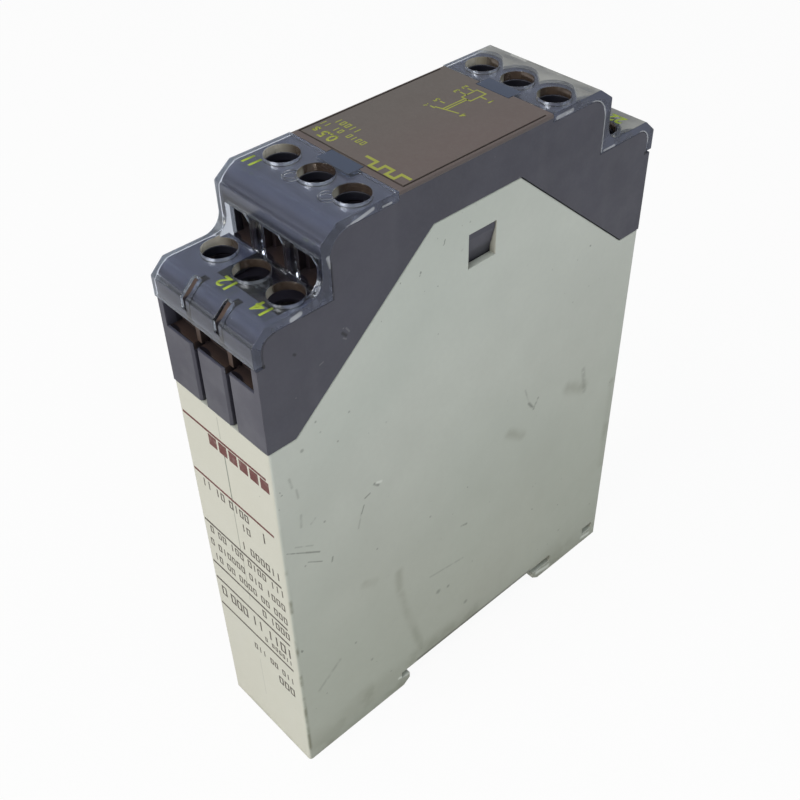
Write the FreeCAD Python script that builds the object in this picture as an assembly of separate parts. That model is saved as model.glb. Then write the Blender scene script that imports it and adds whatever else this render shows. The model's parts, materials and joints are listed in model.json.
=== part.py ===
import FreeCAD, Part
import math
import os

Vec = FreeCAD.Vector

# Overall sizes, in millimetres
# X is the width, Y the length from end to end, Z the height above the feet on the rail side.
width = 22.5
length = 80.0
height = 108.0

# Base shell
wall = 1.2
head_depth = 30.5
hip_drop = 7.7
hip_half = 8.7
hip_ledge = 5.0
corner_round = 0.6
rim_chamfer = 0.15
floor_thickness = 1.7
joint_gap = 0.1

# Rail notch and its fixed hook
rail_width = 35.0
notch_depth = 4.3
hook_tip = -15.2
hook_reach = 2.0
hook_lip = 2.6
hook_slope_run = 1.6
hook_slope_rise = 1.2
side_slot_reach = 5.1
side_slot_lip = 2.4
end_slot_inset = 1.6
end_slot_length = 3.0
end_slot_depth = 3.0

# Sprung latch at the rear foot
latch_half_width = 5.45
latch_step = 1.3
latch_thickness = 2.0
latch_rail = 1.1
latch_lift = 0.25
latch_nose = 3.4
latch_nose_edge = 0.6
latch_travel = 3.0
spring_closed = 4.0
slide_gap = 0.15
post_inset = 7.5
post_depth = 1.5
post_half = 1.8
post_play = 0.4
spring_seat_gap = 0.05
spring_leaf = 0.35
spring_height = 1.6
spring_folds = 4
spring_arm = 1.0
pull_slot_half = 2.5
pull_slot_inset = 2.0
pull_slot_length = 2.0

# Snap windows and tongues that join head and base
snap_offset = 1.0
snap_width = 5.7
snap_height = 5.9
snap_below_top = 12.6
snap_reach = 1.1
snap_edge = 1.0
tongue_width = 14.0
tongue_below_window = 3.5
tongue_thickness = 1.2

# Two-tier terminal ends: runs measured along Y, drops measured down from the top
cover_skin = 1.3
cover_gap = 0.1
cover_overhang = 0.3
cover_edge_round = 0.4
tier_drop = 9.7
lower_tier = 11.75
upper_tier = 13.25
upper_chamfer_run = 2.85
upper_chamfer_drop = 2.1
upper_deck_round = 3.4
lower_chamfer_run = 2.3
lower_chamfer_drop = 2.1
lower_deck_round = 2.4
lip_height = 3.4
lip_slot_rise = 1.6
shoulder_gap = 0.5
panel_thickness = 2.2
panel_height = 10.5
panel_bevel = 0.35
panel_web = 0.8
panel_edge = 0.4
ledge_height = 1.1
ledge_gap = 0.1
pocket_height = 4.6

# Terminal positions
hole_diameter = 5.2
lower_axis = 8.55
upper_axis = 8.75
slot_width = 1.2
slot_back = 2.9
deck_window_rim = 0.5
rib_thickness = 1.0
rib_top_gap = 0.2
fin_inset = 0.3
window_height = 4.7
window_sill = 0.1
window_chamfer = 1.0
sill_thickness = 0.8
cover_window_height = 4.9
cover_window_width = 4.9
cover_window_shift = 0.7
post_thickness = 0.6
cheek_width = 1.85
far_cheek_width = 1.2
cheek_radius = 3.0
block_gap = 0.2
block_back_inset = 0.4
side_gap = 0.1

# Terminal clamp
clamp_gap = 0.15
box_width = 5.2
box_length = 6.8
box_side = 0.8
box_roof = 1.8
box_floor = 1.0
box_bevel = 0.4
box_below_cover = 4.9
wire_space = 3.4
funnel_width = 5.0
funnel_flare = 0.6
screw_side_gap = 0.35
thread_gap = 0.05
screw_head_radius = 2.2
screw_head_height = 1.7
screw_head_gap = 0.2
screw_slot_width = 0.8
screw_slot_depth = 0.9
plate_thickness = 0.6
plate_play = 0.15
plate_side_gap = 0.2
plate_length = 5.6
plate_edge = 0.2
strip_thickness = 0.8
strip_inset = 0.6
strip_top_gap = 0.3
tail_width = 1.6
tail_board_gap = 0.2
tail_length = 0.8

# Faceplate, and the covers' tongues at its ends
faceplate_thickness = 0.6
notch_half = 3.4
notch_run = 1.0
catch_run = 1.4
catch_tab = 0.7
groove_width = 0.35
groove_depth = 0.3
plate_border = 0.4
plate_round = 0.35
clip_place = 6.6
clip_thickness = 1.2
clip_width = 5.0
clip_barb = 0.4
clip_barb_height = 1.0

# Circuit boards and their guides
board_thickness = 1.6
terminal_board_gap = 3.5
terminal_board_inset = 0.5
board_wall_gap = 1.05
board_play = 0.2
guide_depth = 1.7
guide_thickness = 0.8
guide_below_rim = 3.0

# Switching relay on the main board
relay_y = -16.0
relay_z = 52.0
relay_length = 28.0
relay_width = 12.4
relay_height = 15.4
relay_skin = 0.8
relay_base_height = 2.2
coil_axis = 7.6
core_radius = 1.9
core_length = 18.0
core_start = -6.3
bobbin_tube = 0.8
bobbin_flange = 0.8
bobbin_rim = 0.3
bobbin_foot_length = 2.9
bobbin_foot_half = 3.0
winding_radius = 4.4
yoke_thickness = 1.1
yoke_half_width = 4.4
yoke_gap = 0.4
pole_gap = 0.5
armature_thickness = 1.1
armature_half_width = 4.2
armature_pivot = 13.0
armature_swing = 3.0
contact_axis = 4.0
contact_radius = 1.1
contact_back = 0.9
contact_front = 0.6
contact_air = 0.06
contact_tip = 0.5
contact_blade = 0.5
contact_half_width = 1.8
leaf_thickness = 0.3
leaf_half_width = 1.6

# Other parts on the main board: places along Y and up Z, then sizes
component_bevel = 0.7
lead_wire = 0.6
film_y = 6.0
film_z = 48.0
film_length = 26.0
film_width = 8.5
film_tall = 15.0
can_z = 34.0
smoothing_y = 14.0
smoothing_radius = 5.0
smoothing_tall = 14.0
timing_y = 27.0
timing_radius = 4.0
timing_tall = 12.0
varistor_y = 24.0
varistor_z = 66.0
varistor_radius = 5.0
varistor_thickness = 4.0
varistor_lead = 1.0
chip_y = -24.0
chip_z = 27.2
chip_pins = 7
chip_pitch = 2.54
chip_width = 6.4
chip_tall = 4.0
chip_leg = 0.6
transistor_y = 4.0
transistor_z = 22.0
transistor_radius = 2.4
transistor_tall = 4.6
transistor_legs = 1.5
diode_count = 4
diode_y = -30.0
diode_z = 68.0
diode_pitch = 5.0
diode_length = 4.3
diode_width = 2.6
diode_tall = 2.1
diode_bevel = 0.4
diode_tab = 0.8
diode_tab_width = 1.5
diode_tab_thickness = 0.25
resistor_count = 6
resistor_y = -32.0
resistor_z = 15.0
resistor_pitch = 5.5
resistor_length = 3.2
resistor_width = 1.6
resistor_tall = 0.6

# Derived places
half_width = width / 2
end = length / 2
inner_half = half_width - wall
base_end_top = height - head_depth
hip_top = height - hip_drop
floor_top = notch_depth + floor_thickness
far_notch = hook_tip + rail_width
snap_top = height - snap_below_top
lower_top = height - tier_drop
front_face = end - lower_tier
plate_half = front_face - upper_tier
lip_face = end + cover_overhang
deck_top = height - cover_skin - cover_gap
plate_seat = height - faceplate_thickness
plate_run = plate_half - cover_gap
lower_deck = lower_top - cover_skin - cover_gap
head_front = front_face - cover_skin - cover_gap
head_lip = lip_face - cover_skin - cover_gap
lip_bottom = lower_top - lower_chamfer_drop - lip_height
shoulder = lip_bottom - shoulder_gap
panel_top = base_end_top + panel_height
pitch = inner_half - clamp_gap - box_width / 2
columns = (-pitch, 0.0, pitch)
ribs = (-pitch / 2, pitch / 2)
lower_screw = end - lower_axis
upper_screw = front_face - upper_axis
board_top = base_end_top + terminal_board_gap + board_thickness
board_face = -inner_half + board_wall_gap + board_thickness
block_front = head_lip - wall - block_gap
block_step = head_front - wall - block_gap
block_back = plate_half - block_back_inset
block_half = inner_half - side_gap
wire_half = box_width / 2 - box_side
screw_radius = wire_half - screw_side_gap
plate_width = 2 * (wire_half - plate_side_gap)
strip_width = box_width - 2 * strip_inset
tail_offset = pitch + board_face + tail_board_gap + tail_width / 2
clamp_depth = box_below_cover + box_roof + wire_space
upper_wire_floor = height - clamp_depth
head_lintel = lower_top - window_sill + window_height
near_cheek = -half_width + cheek_width
far_cheek = half_width - far_cheek_width
latch_top = latch_rail + latch_thickness
post_front = end - post_inset - post_depth
spring_room = spring_closed + latch_travel
margin = 1.0

# Terminals that are fitted: name, place across, place along, top of its tier
terminals = (
    ("front_upper_left", -pitch, -upper_screw, height),
    ("front_lower_middle", 0.0, -lower_screw, lower_top),
    ("front_lower_right", pitch, -lower_screw, lower_top),
    ("rear_lower_left", -pitch, lower_screw, lower_top),
    ("rear_lower_middle", 0.0, lower_screw, lower_top),
    ("rear_lower_right", pitch, lower_screw, lower_top),
)


def box(x0, x1, y0, y1, z0, z1):
    """A block between two places on each axis, in either order."""
    low = Vec(min(x0, x1), min(y0, y1), min(z0, z1))
    return Part.makeBox(abs(x1 - x0), abs(y1 - y0), abs(z1 - z0), low)


def rod(x, y, z, radius, run, axis="z"):
    """A cylinder from a point along +X, +Y or +Z."""
    direction = {"x": Vec(1, 0, 0), "y": Vec(0, 1, 0), "z": Vec(0, 0, 1)}[axis]
    return Part.makeCylinder(radius, run, Vec(x, y, z), direction)


def closed_face(corners):
    """A flat face from (point, radius) corners, with an arc where the radius isn't zero."""
    edges = []
    starts = []
    stops = []
    arcs = []
    count = len(corners)
    for index, (point, radius) in enumerate(corners):
        before = (corners[index - 1][0] - point).normalize()
        after = (corners[(index + 1) % count][0] - point).normalize()
        half_angle = before.getAngle(after) / 2
        reach = radius / math.tan(half_angle)
        starts.append(point + before * reach)
        stops.append(point + after * reach)
        middle = None
        if radius > 0:
            inward = (before + after).normalize()
            middle = point + inward * (radius / math.sin(half_angle) - radius)
        arcs.append(middle)
    for index in range(count):
        if arcs[index] is not None:
            edges.append(Part.Arc(starts[index], arcs[index], stops[index]).toShape())
        following = (index + 1) % count
        edges.append(Part.makeLine(stops[index], starts[following]))
    return Part.Face(Part.Wire(edges))


def side_solid(points, x0, x1):
    """A solid from a side outline of (y, z) or (y, z, radius) corners."""
    corners = [(Vec(x0, p[0], p[1]), p[2] if len(p) > 2 else 0.0) for p in points]
    return closed_face(corners).extrude(Vec(x1 - x0, 0, 0))


def front_solid(points, y0, y1):
    """A solid from a front outline of (x, z) corners."""
    corners = [(Vec(x, y0, z), 0.0) for x, z in points]
    return closed_face(corners).extrude(Vec(0, y1 - y0, 0))


def both_ends(points):
    """A front outline, given by its runs from the centre, closed by the same outline at the rear."""
    front = [(-p[0],) + tuple(p[1:]) for p in points]
    rear = [tuple(p) for p in reversed(points)]
    return front + rear


def to_rear(shape):
    """The same moulding turned round to serve the rear end."""
    turned = shape.copy()
    turned.rotate(Vec(0, 0, 0), Vec(0, 0, 1), 180)
    return turned


def picked_edges(shape, wanted):
    """The edges that pass a test of their boxes."""
    return [edge for edge in shape.Edges if wanted(edge.BoundBox)]


def near(value, target):
    """True for two lengths that are the same place."""
    return abs(value - target) < 0.01


def is_upright(span):
    """True for the box of a straight edge along Z."""
    return near(span.XLength, 0) and near(span.YLength, 0) and span.ZLength > 0.01


def export(name, shape):
    """Write one sub-part to its file."""
    tidy = shape.removeSplitter()
    if tidy.ShapeType == "Compound" and len(tidy.Solids) == 1:
        tidy = tidy.Solids[0]
    tidy.exportStep("parts/" + name + ".step")


def base_blank():
    """Outer form of the base: hip-shaped sides, broken rim and rounded corners."""
    blank = side_solid(both_ends([
        (end, 0.0),
        (end, base_end_top),
        (end - hip_ledge, base_end_top),
        (hip_half, hip_top),
    ]), -half_width, half_width)

    def on_rim(span):
        on_side = near(abs(span.XMin), half_width) and near(span.XLength, 0)
        return on_side and span.ZMin > base_end_top - 0.01

    def at_corner(span):
        return is_upright(span) and near(abs(span.YMin), end)

    blank = blank.makeChamfer(rim_chamfer, picked_edges(blank, on_rim))
    return blank.makeFillet(corner_round, picked_edges(blank, at_corner))


def base_housing():
    """Pale shell: walls, floor over the rail notch, feet, hook, latch channel and board guides."""
    shell = base_blank()
    cavity = box(-inner_half, inner_half, -end + wall, end - wall, floor_top, height)
    foot_hollow = box(-inner_half, inner_half, -end + wall, hook_tip - hook_reach - wall, wall, floor_top)
    shell = shell.cut(cavity).cut(foot_hollow)

    across = half_width + margin
    notch = side_solid([
        (hook_tip - hook_slope_run, -margin),
        (hook_tip - hook_slope_run, 0.0),
        (hook_tip, hook_slope_rise),
        (hook_tip, hook_lip),
        (hook_tip - hook_reach, hook_lip),
        (hook_tip - hook_reach, notch_depth),
        (far_notch + side_slot_reach, notch_depth),
        (far_notch + side_slot_reach, side_slot_lip),
        (far_notch, side_slot_lip),
        (far_notch, hook_slope_rise),
        (far_notch + hook_slope_run, 0.0),
        (far_notch + hook_slope_run, -margin),
    ], -across, across)
    shell = shell.cut(notch)
    slot_stop = end - end_slot_inset
    for side in (-1, 1):
        shell = shell.cut(box(side * across, side * (half_width - end_slot_depth),
                              slot_stop - end_slot_length, slot_stop, side_slot_lip, notch_depth))

    shell = shell.cut(latch_channel())
    shell = shell.fuse(box(-post_half, post_half, post_front, post_front + post_depth,
                           latch_rail, floor_top))
    window = box(-across, across, snap_offset - snap_width / 2, snap_offset + snap_width / 2,
                 snap_top - snap_height, snap_top)
    shell = shell.cut(window)
    return shell.fuse(board_guides())


def latch_channel():
    """Stepped way for the latch, open to the notch, the end and below."""
    half = latch_half_width + slide_gap
    rail = latch_rail - slide_gap
    room = box(-half, half, far_notch - slide_gap, end + margin, rail, latch_top + slide_gap)
    mouth = box(-half + latch_step, half - latch_step, far_notch - slide_gap, end + margin, -margin, rail)
    return room.fuse(mouth)


def board_guides():
    """Pairs of upright ribs at both end walls that hold the main board's edges."""
    top = base_end_top - guide_below_rim
    back = board_face - board_thickness - side_gap
    front = board_face + side_gap
    guides = []
    for side in (-1, 1):
        outer_end = side * (end - wall)
        inner_end = side * (end - wall - guide_depth)
        guides.append(box(-inner_half, back, outer_end, inner_end, floor_top, top))
        guides.append(box(front, front + guide_thickness, outer_end, inner_end, floor_top, top))
    return guides[0].multiFuse(guides[1:])


def terminal_head():
    """Blue-grey head: stepped decks, side walls to the base's slopes, end panels and snap tongues."""
    foot = base_end_top + joint_gap
    slope = (hip_top - base_end_top) / (end - hip_ledge - hip_half)
    shift = joint_gap / slope
    head = side_solid(both_ends([
        (hip_half + shift, hip_top + joint_gap),
        (end - hip_ledge + shift, foot),
        (end, foot),
        (end, shoulder),
        (head_lip, shoulder),
        (head_lip, lower_deck, lower_deck_round),
        (head_front, lower_deck),
        (head_front, deck_top, upper_deck_round),
        (plate_run, deck_top),
        (plate_run, plate_seat),
    ]), -half_width, half_width)
    cavity = side_solid(both_ends([
        (end - panel_thickness, base_end_top - margin),
        (end - panel_thickness, shoulder),
        (head_lip - wall, shoulder),
        (head_lip - wall, lower_deck - wall, lower_deck_round - wall),
        (head_front - wall, lower_deck - wall),
        (head_front - wall, deck_top - wall, upper_deck_round - wall),
    ]), -inner_half, inner_half)
    head = head.cut(cavity)
    for opening in head_openings():
        head = head.cut(opening).cut(to_rear(opening))
    head = bevel_panels(head)
    for side in (-1, 1):
        head = head.fuse(snap_tongue(side))
        head = head.cut(faceplate_clip(side, slide_gap))
    return head


def head_openings():
    """Front end's screw holes, deck and wire windows, catch, wire pockets and partition slots."""
    cuts = []
    sill = upper_wire_floor - sill_thickness - ledge_gap
    hole = hole_diameter / 2
    cuts.append(box(-notch_half, notch_half, -plate_half - catch_run, -plate_run + notch_run,
                    deck_top - wall - margin, height))
    cuts.append(rod(columns[0], -lower_screw, lower_deck - wall - margin, hole, wall + 2 * margin))
    cuts.append(box(ribs[0], inner_half - deck_window_rim, -lower_screw - hole - deck_window_rim,
                    -head_front - deck_window_rim, lower_deck - wall - margin, lower_deck + margin))
    for x in columns:
        cuts.append(rod(x, -upper_screw, deck_top - wall - margin, hole, wall + 2 * margin))
    cuts.append(wire_window(-block_half, block_half, sill, head_lintel, -head_front - margin,
                            -head_front + wall + margin))
    panel_back = -end + panel_thickness
    cuts.append(box(-inner_half, inner_half, -end - margin, panel_back + margin,
                    panel_top, panel_top + pocket_height))
    cuts.append(box(-inner_half, inner_half, -end + panel_edge, panel_back + margin,
                    panel_top - ledge_height - ledge_gap, panel_top + margin))
    for x in ribs:
        left, right = x - slot_width / 2, x + slot_width / 2
        cuts.append(box(left, right, -end - margin, panel_back - panel_web, base_end_top, panel_top))
        cuts.append(box(left, right, -end - margin, -head_lip + slot_back, panel_top, lower_top))
    return cuts


def wire_window(left, right, sill, lintel, y0, y1):
    """A wire window with its upper right corner broken, as seen from the front."""
    return front_solid([
        (left, sill),
        (right, sill),
        (right, lintel - window_chamfer),
        (right - window_chamfer, lintel),
        (left, lintel),
    ], y0, y1)


def bevel_panels(head):
    """Break the upright edges of the end panels beside the slots."""
    places = [abs(x + side * slot_width / 2) for x in ribs for side in (-1, 1)]

    def beside_slot(span):
        on_panel = is_upright(span) and near(abs(span.YMin), end) and span.ZMax < panel_top + 0.01
        return on_panel and any(near(abs(span.XMin), place) for place in places)

    return head.makeChamfer(panel_bevel, picked_edges(head, beside_slot))


def snap_tongue(side):
    """A tongue behind the base's wall, with the ramp that catches in the window."""
    outer = inner_half - side_gap
    inner = outer - tongue_thickness
    bottom = snap_top - snap_height
    ramp_half = snap_width / 2 - slide_gap
    y0 = snap_offset - tongue_width / 2
    y1 = snap_offset + tongue_width / 2
    blade = box(inner, outer, y0, y1, bottom - tongue_below_window, deck_top - wall)
    bridge = box(inner, inner_half, y0, y1, hip_top + 2 * joint_gap, deck_top - wall)
    ramp = front_solid([
        (inner, bottom + slide_gap),
        (outer, bottom + slide_gap),
        (outer + snap_reach, snap_top - slide_gap - snap_edge),
        (outer + snap_reach, snap_top - slide_gap),
        (inner, snap_top - slide_gap),
    ], snap_offset - ramp_half, snap_offset + ramp_half)
    tongue = blade.fuse(bridge).fuse(ramp)
    if side < 0:
        tongue = tongue.mirror(Vec(0, 0, 0), Vec(1, 0, 0))
    return tongue


def faceplate_clip(side, clearance):
    """One barbed leg of the faceplate, or the slot that it needs in the deck."""
    inner = clip_place - clip_thickness / 2 - clearance
    outer = clip_place + clip_thickness / 2 + clearance
    half = clip_width / 2 + clearance
    under = deck_top - wall - cover_gap
    leg = box(inner, outer, -half, half, under - clip_barb_height, plate_seat)
    if clearance == 0:
        barb = front_solid([
            (outer - clip_barb, under),
            (outer + clip_barb, under),
            (outer - clip_barb, under - clip_barb_height),
        ], -half, half)
        leg = leg.fuse(barb)
    if side < 0:
        leg = leg.mirror(Vec(0, 0, 0), Vec(1, 0, 0))
    return leg


def faceplate():
    """Brown plate between the covers: rounded long edges, grooved border, notches and clips."""
    plate = box(-half_width, half_width, -plate_run, plate_run, plate_seat, height)

    def long_top(span):
        return span.YLength > plate_run and near(span.ZMin, height)

    plate = plate.makeFillet(plate_round, picked_edges(plate, long_top))
    for side in (-1, 1):
        plate = plate.cut(box(-notch_half, notch_half, side * (plate_run - notch_run),
                              side * (plate_run + margin), plate_seat - margin, height + margin))
    edge = half_width - plate_border
    start = -plate_run + notch_run
    stop = plate_run - notch_run
    bottom = height - groove_depth
    plate = plate.cut(box(-edge, edge, start, start + groove_width, bottom, height + margin))
    for side in (-1, 1):
        plate = plate.cut(box(side * edge, side * (edge - groove_width), start, stop,
                              bottom, height + margin))
        plate = plate.fuse(faceplate_clip(side, 0))
    return plate


def terminal_cover():
    """Clear stepped cover for the front end: skin, wire windows, cheeks, holes, slots and tongue."""
    outer = [
        (plate_half, height),
        (front_face - upper_chamfer_run, height, cover_edge_round),
        (front_face, height - upper_chamfer_drop, cover_edge_round),
        (front_face, lower_top),
        (lip_face - lower_chamfer_run, lower_top, cover_edge_round),
        (lip_face, lower_top - lower_chamfer_drop, cover_edge_round),
        (lip_face, lip_bottom),
    ]
    inner = [
        (head_lip + cover_gap, lip_bottom),
        (head_lip + cover_gap, lower_deck + cover_gap, lower_deck_round + cover_gap),
        (head_front + cover_gap, lower_deck + cover_gap),
        (head_front + cover_gap, deck_top + cover_gap, upper_deck_round + cover_gap),
        (plate_half, deck_top + cover_gap),
    ]
    cover = side_solid([(-p[0],) + tuple(p[1:]) for p in outer + inner], -half_width, half_width)

    lintel = lower_top + cover_window_height
    for x in columns:
        middle = x + cover_window_shift
        left = near_cheek if near(x, columns[0]) else middle - cover_window_width / 2
        right = min(middle + cover_window_width / 2, far_cheek)
        cover = cover.cut(wire_window(left, right, lower_deck, lintel, -front_face, -head_front))
    cover = cover.cut(box(near_cheek, far_cheek, -front_face + post_thickness, -head_front,
                          lower_deck, lintel))
    cover = cover.fuse(cover_cheek(-half_width, near_cheek)).fuse(cover_cheek(far_cheek, half_width))
    tongue_half = notch_half - cover_gap
    cover = cover.fuse(box(-tongue_half, tongue_half, -plate_half - margin, -plate_half + notch_run,
                           deck_top + cover_gap, height))
    tab_front = -plate_half - catch_run + cover_gap
    cover = cover.fuse(box(-tongue_half, tongue_half, tab_front, tab_front + catch_tab,
                           deck_top - wall, deck_top + 2 * cover_gap))
    for x in columns:
        for run, top in ((upper_screw, height), (lower_screw, lower_top)):
            bottom = top - cover_skin - margin
            cover = cover.cut(rod(x, -run, bottom, hole_diameter / 2, cover_skin + 2 * margin))
    for x in ribs:
        cover = cover.cut(box(x - slot_width / 2, x + slot_width / 2, -lip_face - margin,
                              -lip_face + slot_back, lip_bottom + lip_slot_rise, height))
    return cover


def cover_cheek(x0, x1):
    """Web in the step's corner with a hollow round edge."""
    web = box(x0, x1, -front_face - cheek_radius, -front_face, lower_top, lower_top + cheek_radius)
    bite = rod(min(x0, x1) - margin, -front_face - cheek_radius, lower_top + cheek_radius, cheek_radius,
               abs(x1 - x0) + 2 * margin, "x")
    return web.cut(bite)


def terminal_block():
    """Brown carrier for the front end: two steps, clamp chambers, sills, ledge and partition ribs."""
    low_top = lower_deck - wall - block_gap
    high_top = deck_top - wall - block_gap
    inner_round = lower_deck_round - wall
    block = side_solid([
        (-block_back, board_top),
        (-block_back, high_top),
        (-block_step, high_top, upper_deck_round - wall),
        (-block_step, low_top),
        (-block_front, low_top, inner_round),
        (-block_front, board_top),
    ], -block_half, block_half)
    for x in columns:
        block = block.cut(chamber(x, upper_screw, height, block_step))
        block = block.cut(chamber(x, lower_screw, lower_top, block_front))
    block = block.fuse(block_sill()).fuse(block_ledge())
    rib_low = panel_top + rib_top_gap
    rib_high = lower_deck - rib_top_gap
    fin_back = -lip_face + slot_back - rib_top_gap
    fin_front = -lip_face + fin_inset
    fin_low = lip_bottom + lip_slot_rise + rib_top_gap
    for x in ribs:
        rib = side_solid([
            (-block_front + inner_round, rib_low),
            (-block_front + inner_round, low_top),
            (-head_lip + slot_back - rib_top_gap, low_top),
            (-head_lip + slot_back - rib_top_gap, rib_high),
            (fin_back, rib_high),
            (fin_back, lower_top - fin_inset),
            (fin_front + lower_chamfer_run, lower_top - fin_inset),
            (fin_front, lower_top - fin_inset - lower_chamfer_drop),
            (fin_front, fin_low),
            (-head_lip, fin_low),
            (-head_lip, rib_low),
        ], x - rib_thickness / 2, x + rib_thickness / 2)
        block = block.fuse(rib)
    return block


def block_sill():
    """Floor and partitions that fill the head's wire window, behind the cover's posts."""
    front = -front_face + post_thickness + cover_gap
    low = upper_wire_floor - sill_thickness
    right = min(columns[-1] + funnel_width / 2, far_cheek - cover_gap)
    sill = box(near_cheek + cover_gap, right, front, -block_step, low, upper_wire_floor)
    for x in ribs:
        sill = sill.fuse(box(x - rib_thickness / 2, x + rib_thickness / 2, front, -block_step,
                             low, head_lintel - rib_top_gap))
    return sill


def block_ledge():
    """Shelf under the wire mouths that closes the end panel's rebate, notched behind the slots."""
    front = -end + panel_edge + ledge_gap
    low = panel_top - ledge_height
    ledge = box(-block_half, block_half, front, -block_front, low, panel_top)
    for x in ribs:
        ledge = ledge.cut(box(x - slot_width / 2, x + slot_width / 2, front - margin,
                              -end + panel_thickness, low - margin, panel_top + margin))
    return ledge


def chamber(x, run, tier_top, mouth):
    """The hollow of one terminal: clamp room, screw shaft, wire funnel and strip slot."""
    left = x - box_width / 2 - clamp_gap
    right = x + box_width / 2 + clamp_gap
    if near(x, columns[0]):
        left = -block_half - margin
    if near(x, columns[2]):
        right = block_half + margin
    front = -run - box_length / 2
    back = -run + box_length / 2
    wire_low = tier_top - clamp_depth
    box_top = tier_top - box_below_cover
    room = box(left, right, front - clamp_gap, back, wire_low - box_floor, box_top + screw_head_gap)
    shaft = rod(x, -run, box_top, hole_diameter / 2, box_below_cover)
    slot_half = strip_width / 2 + clamp_gap
    slot = box(x - slot_half, x + slot_half, back - clamp_gap, back + strip_thickness + clamp_gap,
               board_top - margin, box_top - box_roof)
    wire_high = wire_low + wire_space
    wide = funnel_width / 2
    funnel = Part.makeWedge(x - wide, -mouth - clamp_gap, wire_low, wire_low, x - wire_half,
                            x + wide, front, wire_high + funnel_flare, wire_high, x + wire_half)
    return room.fuse(shaft).fuse(slot).fuse(funnel)


def clamp_box(x, y, tier_top):
    """Folded steel box that takes the wire, with the threaded roof."""
    half = box_width / 2
    top = tier_top - box_below_cover
    wire_low = tier_top - clamp_depth
    body = box(x - half, x + half, y - box_length / 2, y + box_length / 2, wire_low - box_floor, top)

    def long_edge(span):
        return near(span.YLength, box_length)

    body = body.makeChamfer(box_bevel, picked_edges(body, long_edge))
    way = box(x - wire_half, x + wire_half, y - box_length, y + box_length, wire_low, top - box_roof)
    thread = rod(x, y, top - box_roof - margin, screw_radius + thread_gap, box_roof + 2 * margin)
    return body.cut(way).cut(thread)


def clamp_plate(x, y, tier_top):
    """Pressure plate under the screw, with its wire side's ends broken."""
    z = tier_top - clamp_depth + plate_play
    plate = box(x - plate_width / 2, x + plate_width / 2, y - plate_length / 2, y + plate_length / 2,
                z, z + plate_thickness)

    def wire_end(span):
        return near(span.ZMax, z) and near(span.XLength, plate_width)

    return plate.makeChamfer(plate_edge, picked_edges(plate, wire_end))


def clamp_screw(x, y, tier_top):
    """Slotted cheese-head screw, drawn home on its plate."""
    tip = tier_top - clamp_depth + plate_play + plate_thickness + thread_gap
    under_head = tier_top - box_below_cover + screw_head_gap
    head_top = under_head + screw_head_height
    shank = rod(x, y, tip, screw_radius, under_head - tip)
    head = rod(x, y, under_head, screw_head_radius, screw_head_height)
    reach = screw_head_radius + margin
    slot = box(x - reach, x + reach, y - screw_slot_width / 2, y + screw_slot_width / 2,
               head_top - screw_slot_depth, head_top + margin)
    return shank.fuse(head).cut(slot)


def strip_span(y):
    """The near and far face of a terminal's strip, on the inward side of its clamp."""
    inward = 1.0 if y < 0 else -1.0
    face = y + inward * box_length / 2
    return face, face + inward * strip_thickness


def contact_strip(x, y, tier_top):
    """Tinned strip on the back of the clamp box, with a tail through the terminal board."""
    front, back = strip_span(y)
    top = tier_top - box_below_cover - box_roof - strip_top_gap
    blade = box(x - strip_width / 2, x + strip_width / 2, front, back, board_top, top)
    tail_x = x + tail_offset
    tail = box(tail_x - tail_width / 2, tail_x + tail_width / 2, front, back,
               board_top - board_thickness - tail_length, board_top)
    return blade.fuse(tail)


def terminal_board():
    """Board lying under the terminal blocks, slotted for the strips' tails."""
    run = end - panel_thickness - terminal_board_inset
    board = box(-block_half, block_half, -run, run, board_top - board_thickness, board_top)
    for name, x, y, tier_top in terminals:
        front, back = strip_span(y)
        tail_x = x + tail_offset
        board = board.cut(box(tail_x - tail_width / 2, tail_x + tail_width / 2, front, back,
                              board_top - board_thickness - margin, board_top + margin))
    return board


def main_board():
    """Board standing in the base's guides, narrower where it reaches between the end panels."""
    low_run = end - wall - board_play
    high_run = end - panel_thickness - board_play
    waist = base_end_top - board_play
    return side_solid(both_ends([
        (low_run, floor_top),
        (low_run, waist),
        (high_run, waist),
        (high_run, board_top - board_thickness),
    ]), board_face - board_thickness, board_face)


def din_latch():
    """Sliding latch with a ramped nose, a spring window and a pull slot."""
    narrow = latch_half_width - latch_step
    start = far_notch + slide_gap
    stop = end - slide_gap
    plate = box(-latch_half_width, latch_half_width, start, stop, latch_rail, latch_top)
    keel = box(-narrow, narrow, start, stop, latch_lift, latch_rail)
    nose = side_solid([
        (far_notch - latch_nose, hook_lip - latch_nose_edge),
        (far_notch - latch_nose, hook_lip),
        (start, hook_lip),
        (start, latch_lift),
        (far_notch - latch_nose_edge, latch_lift),
    ], -narrow, narrow)
    window_half = post_half + post_play
    window = box(-window_half, window_half, post_front - spring_room, post_front + post_depth + post_play,
                 -margin, latch_top + margin)
    pull_stop = end - pull_slot_inset
    pull = box(-pull_slot_half, pull_slot_half, pull_stop - pull_slot_length, pull_stop,
               -margin, latch_top + margin)
    return plate.fuse(keel).fuse(nose).cut(window).cut(pull)


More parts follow.
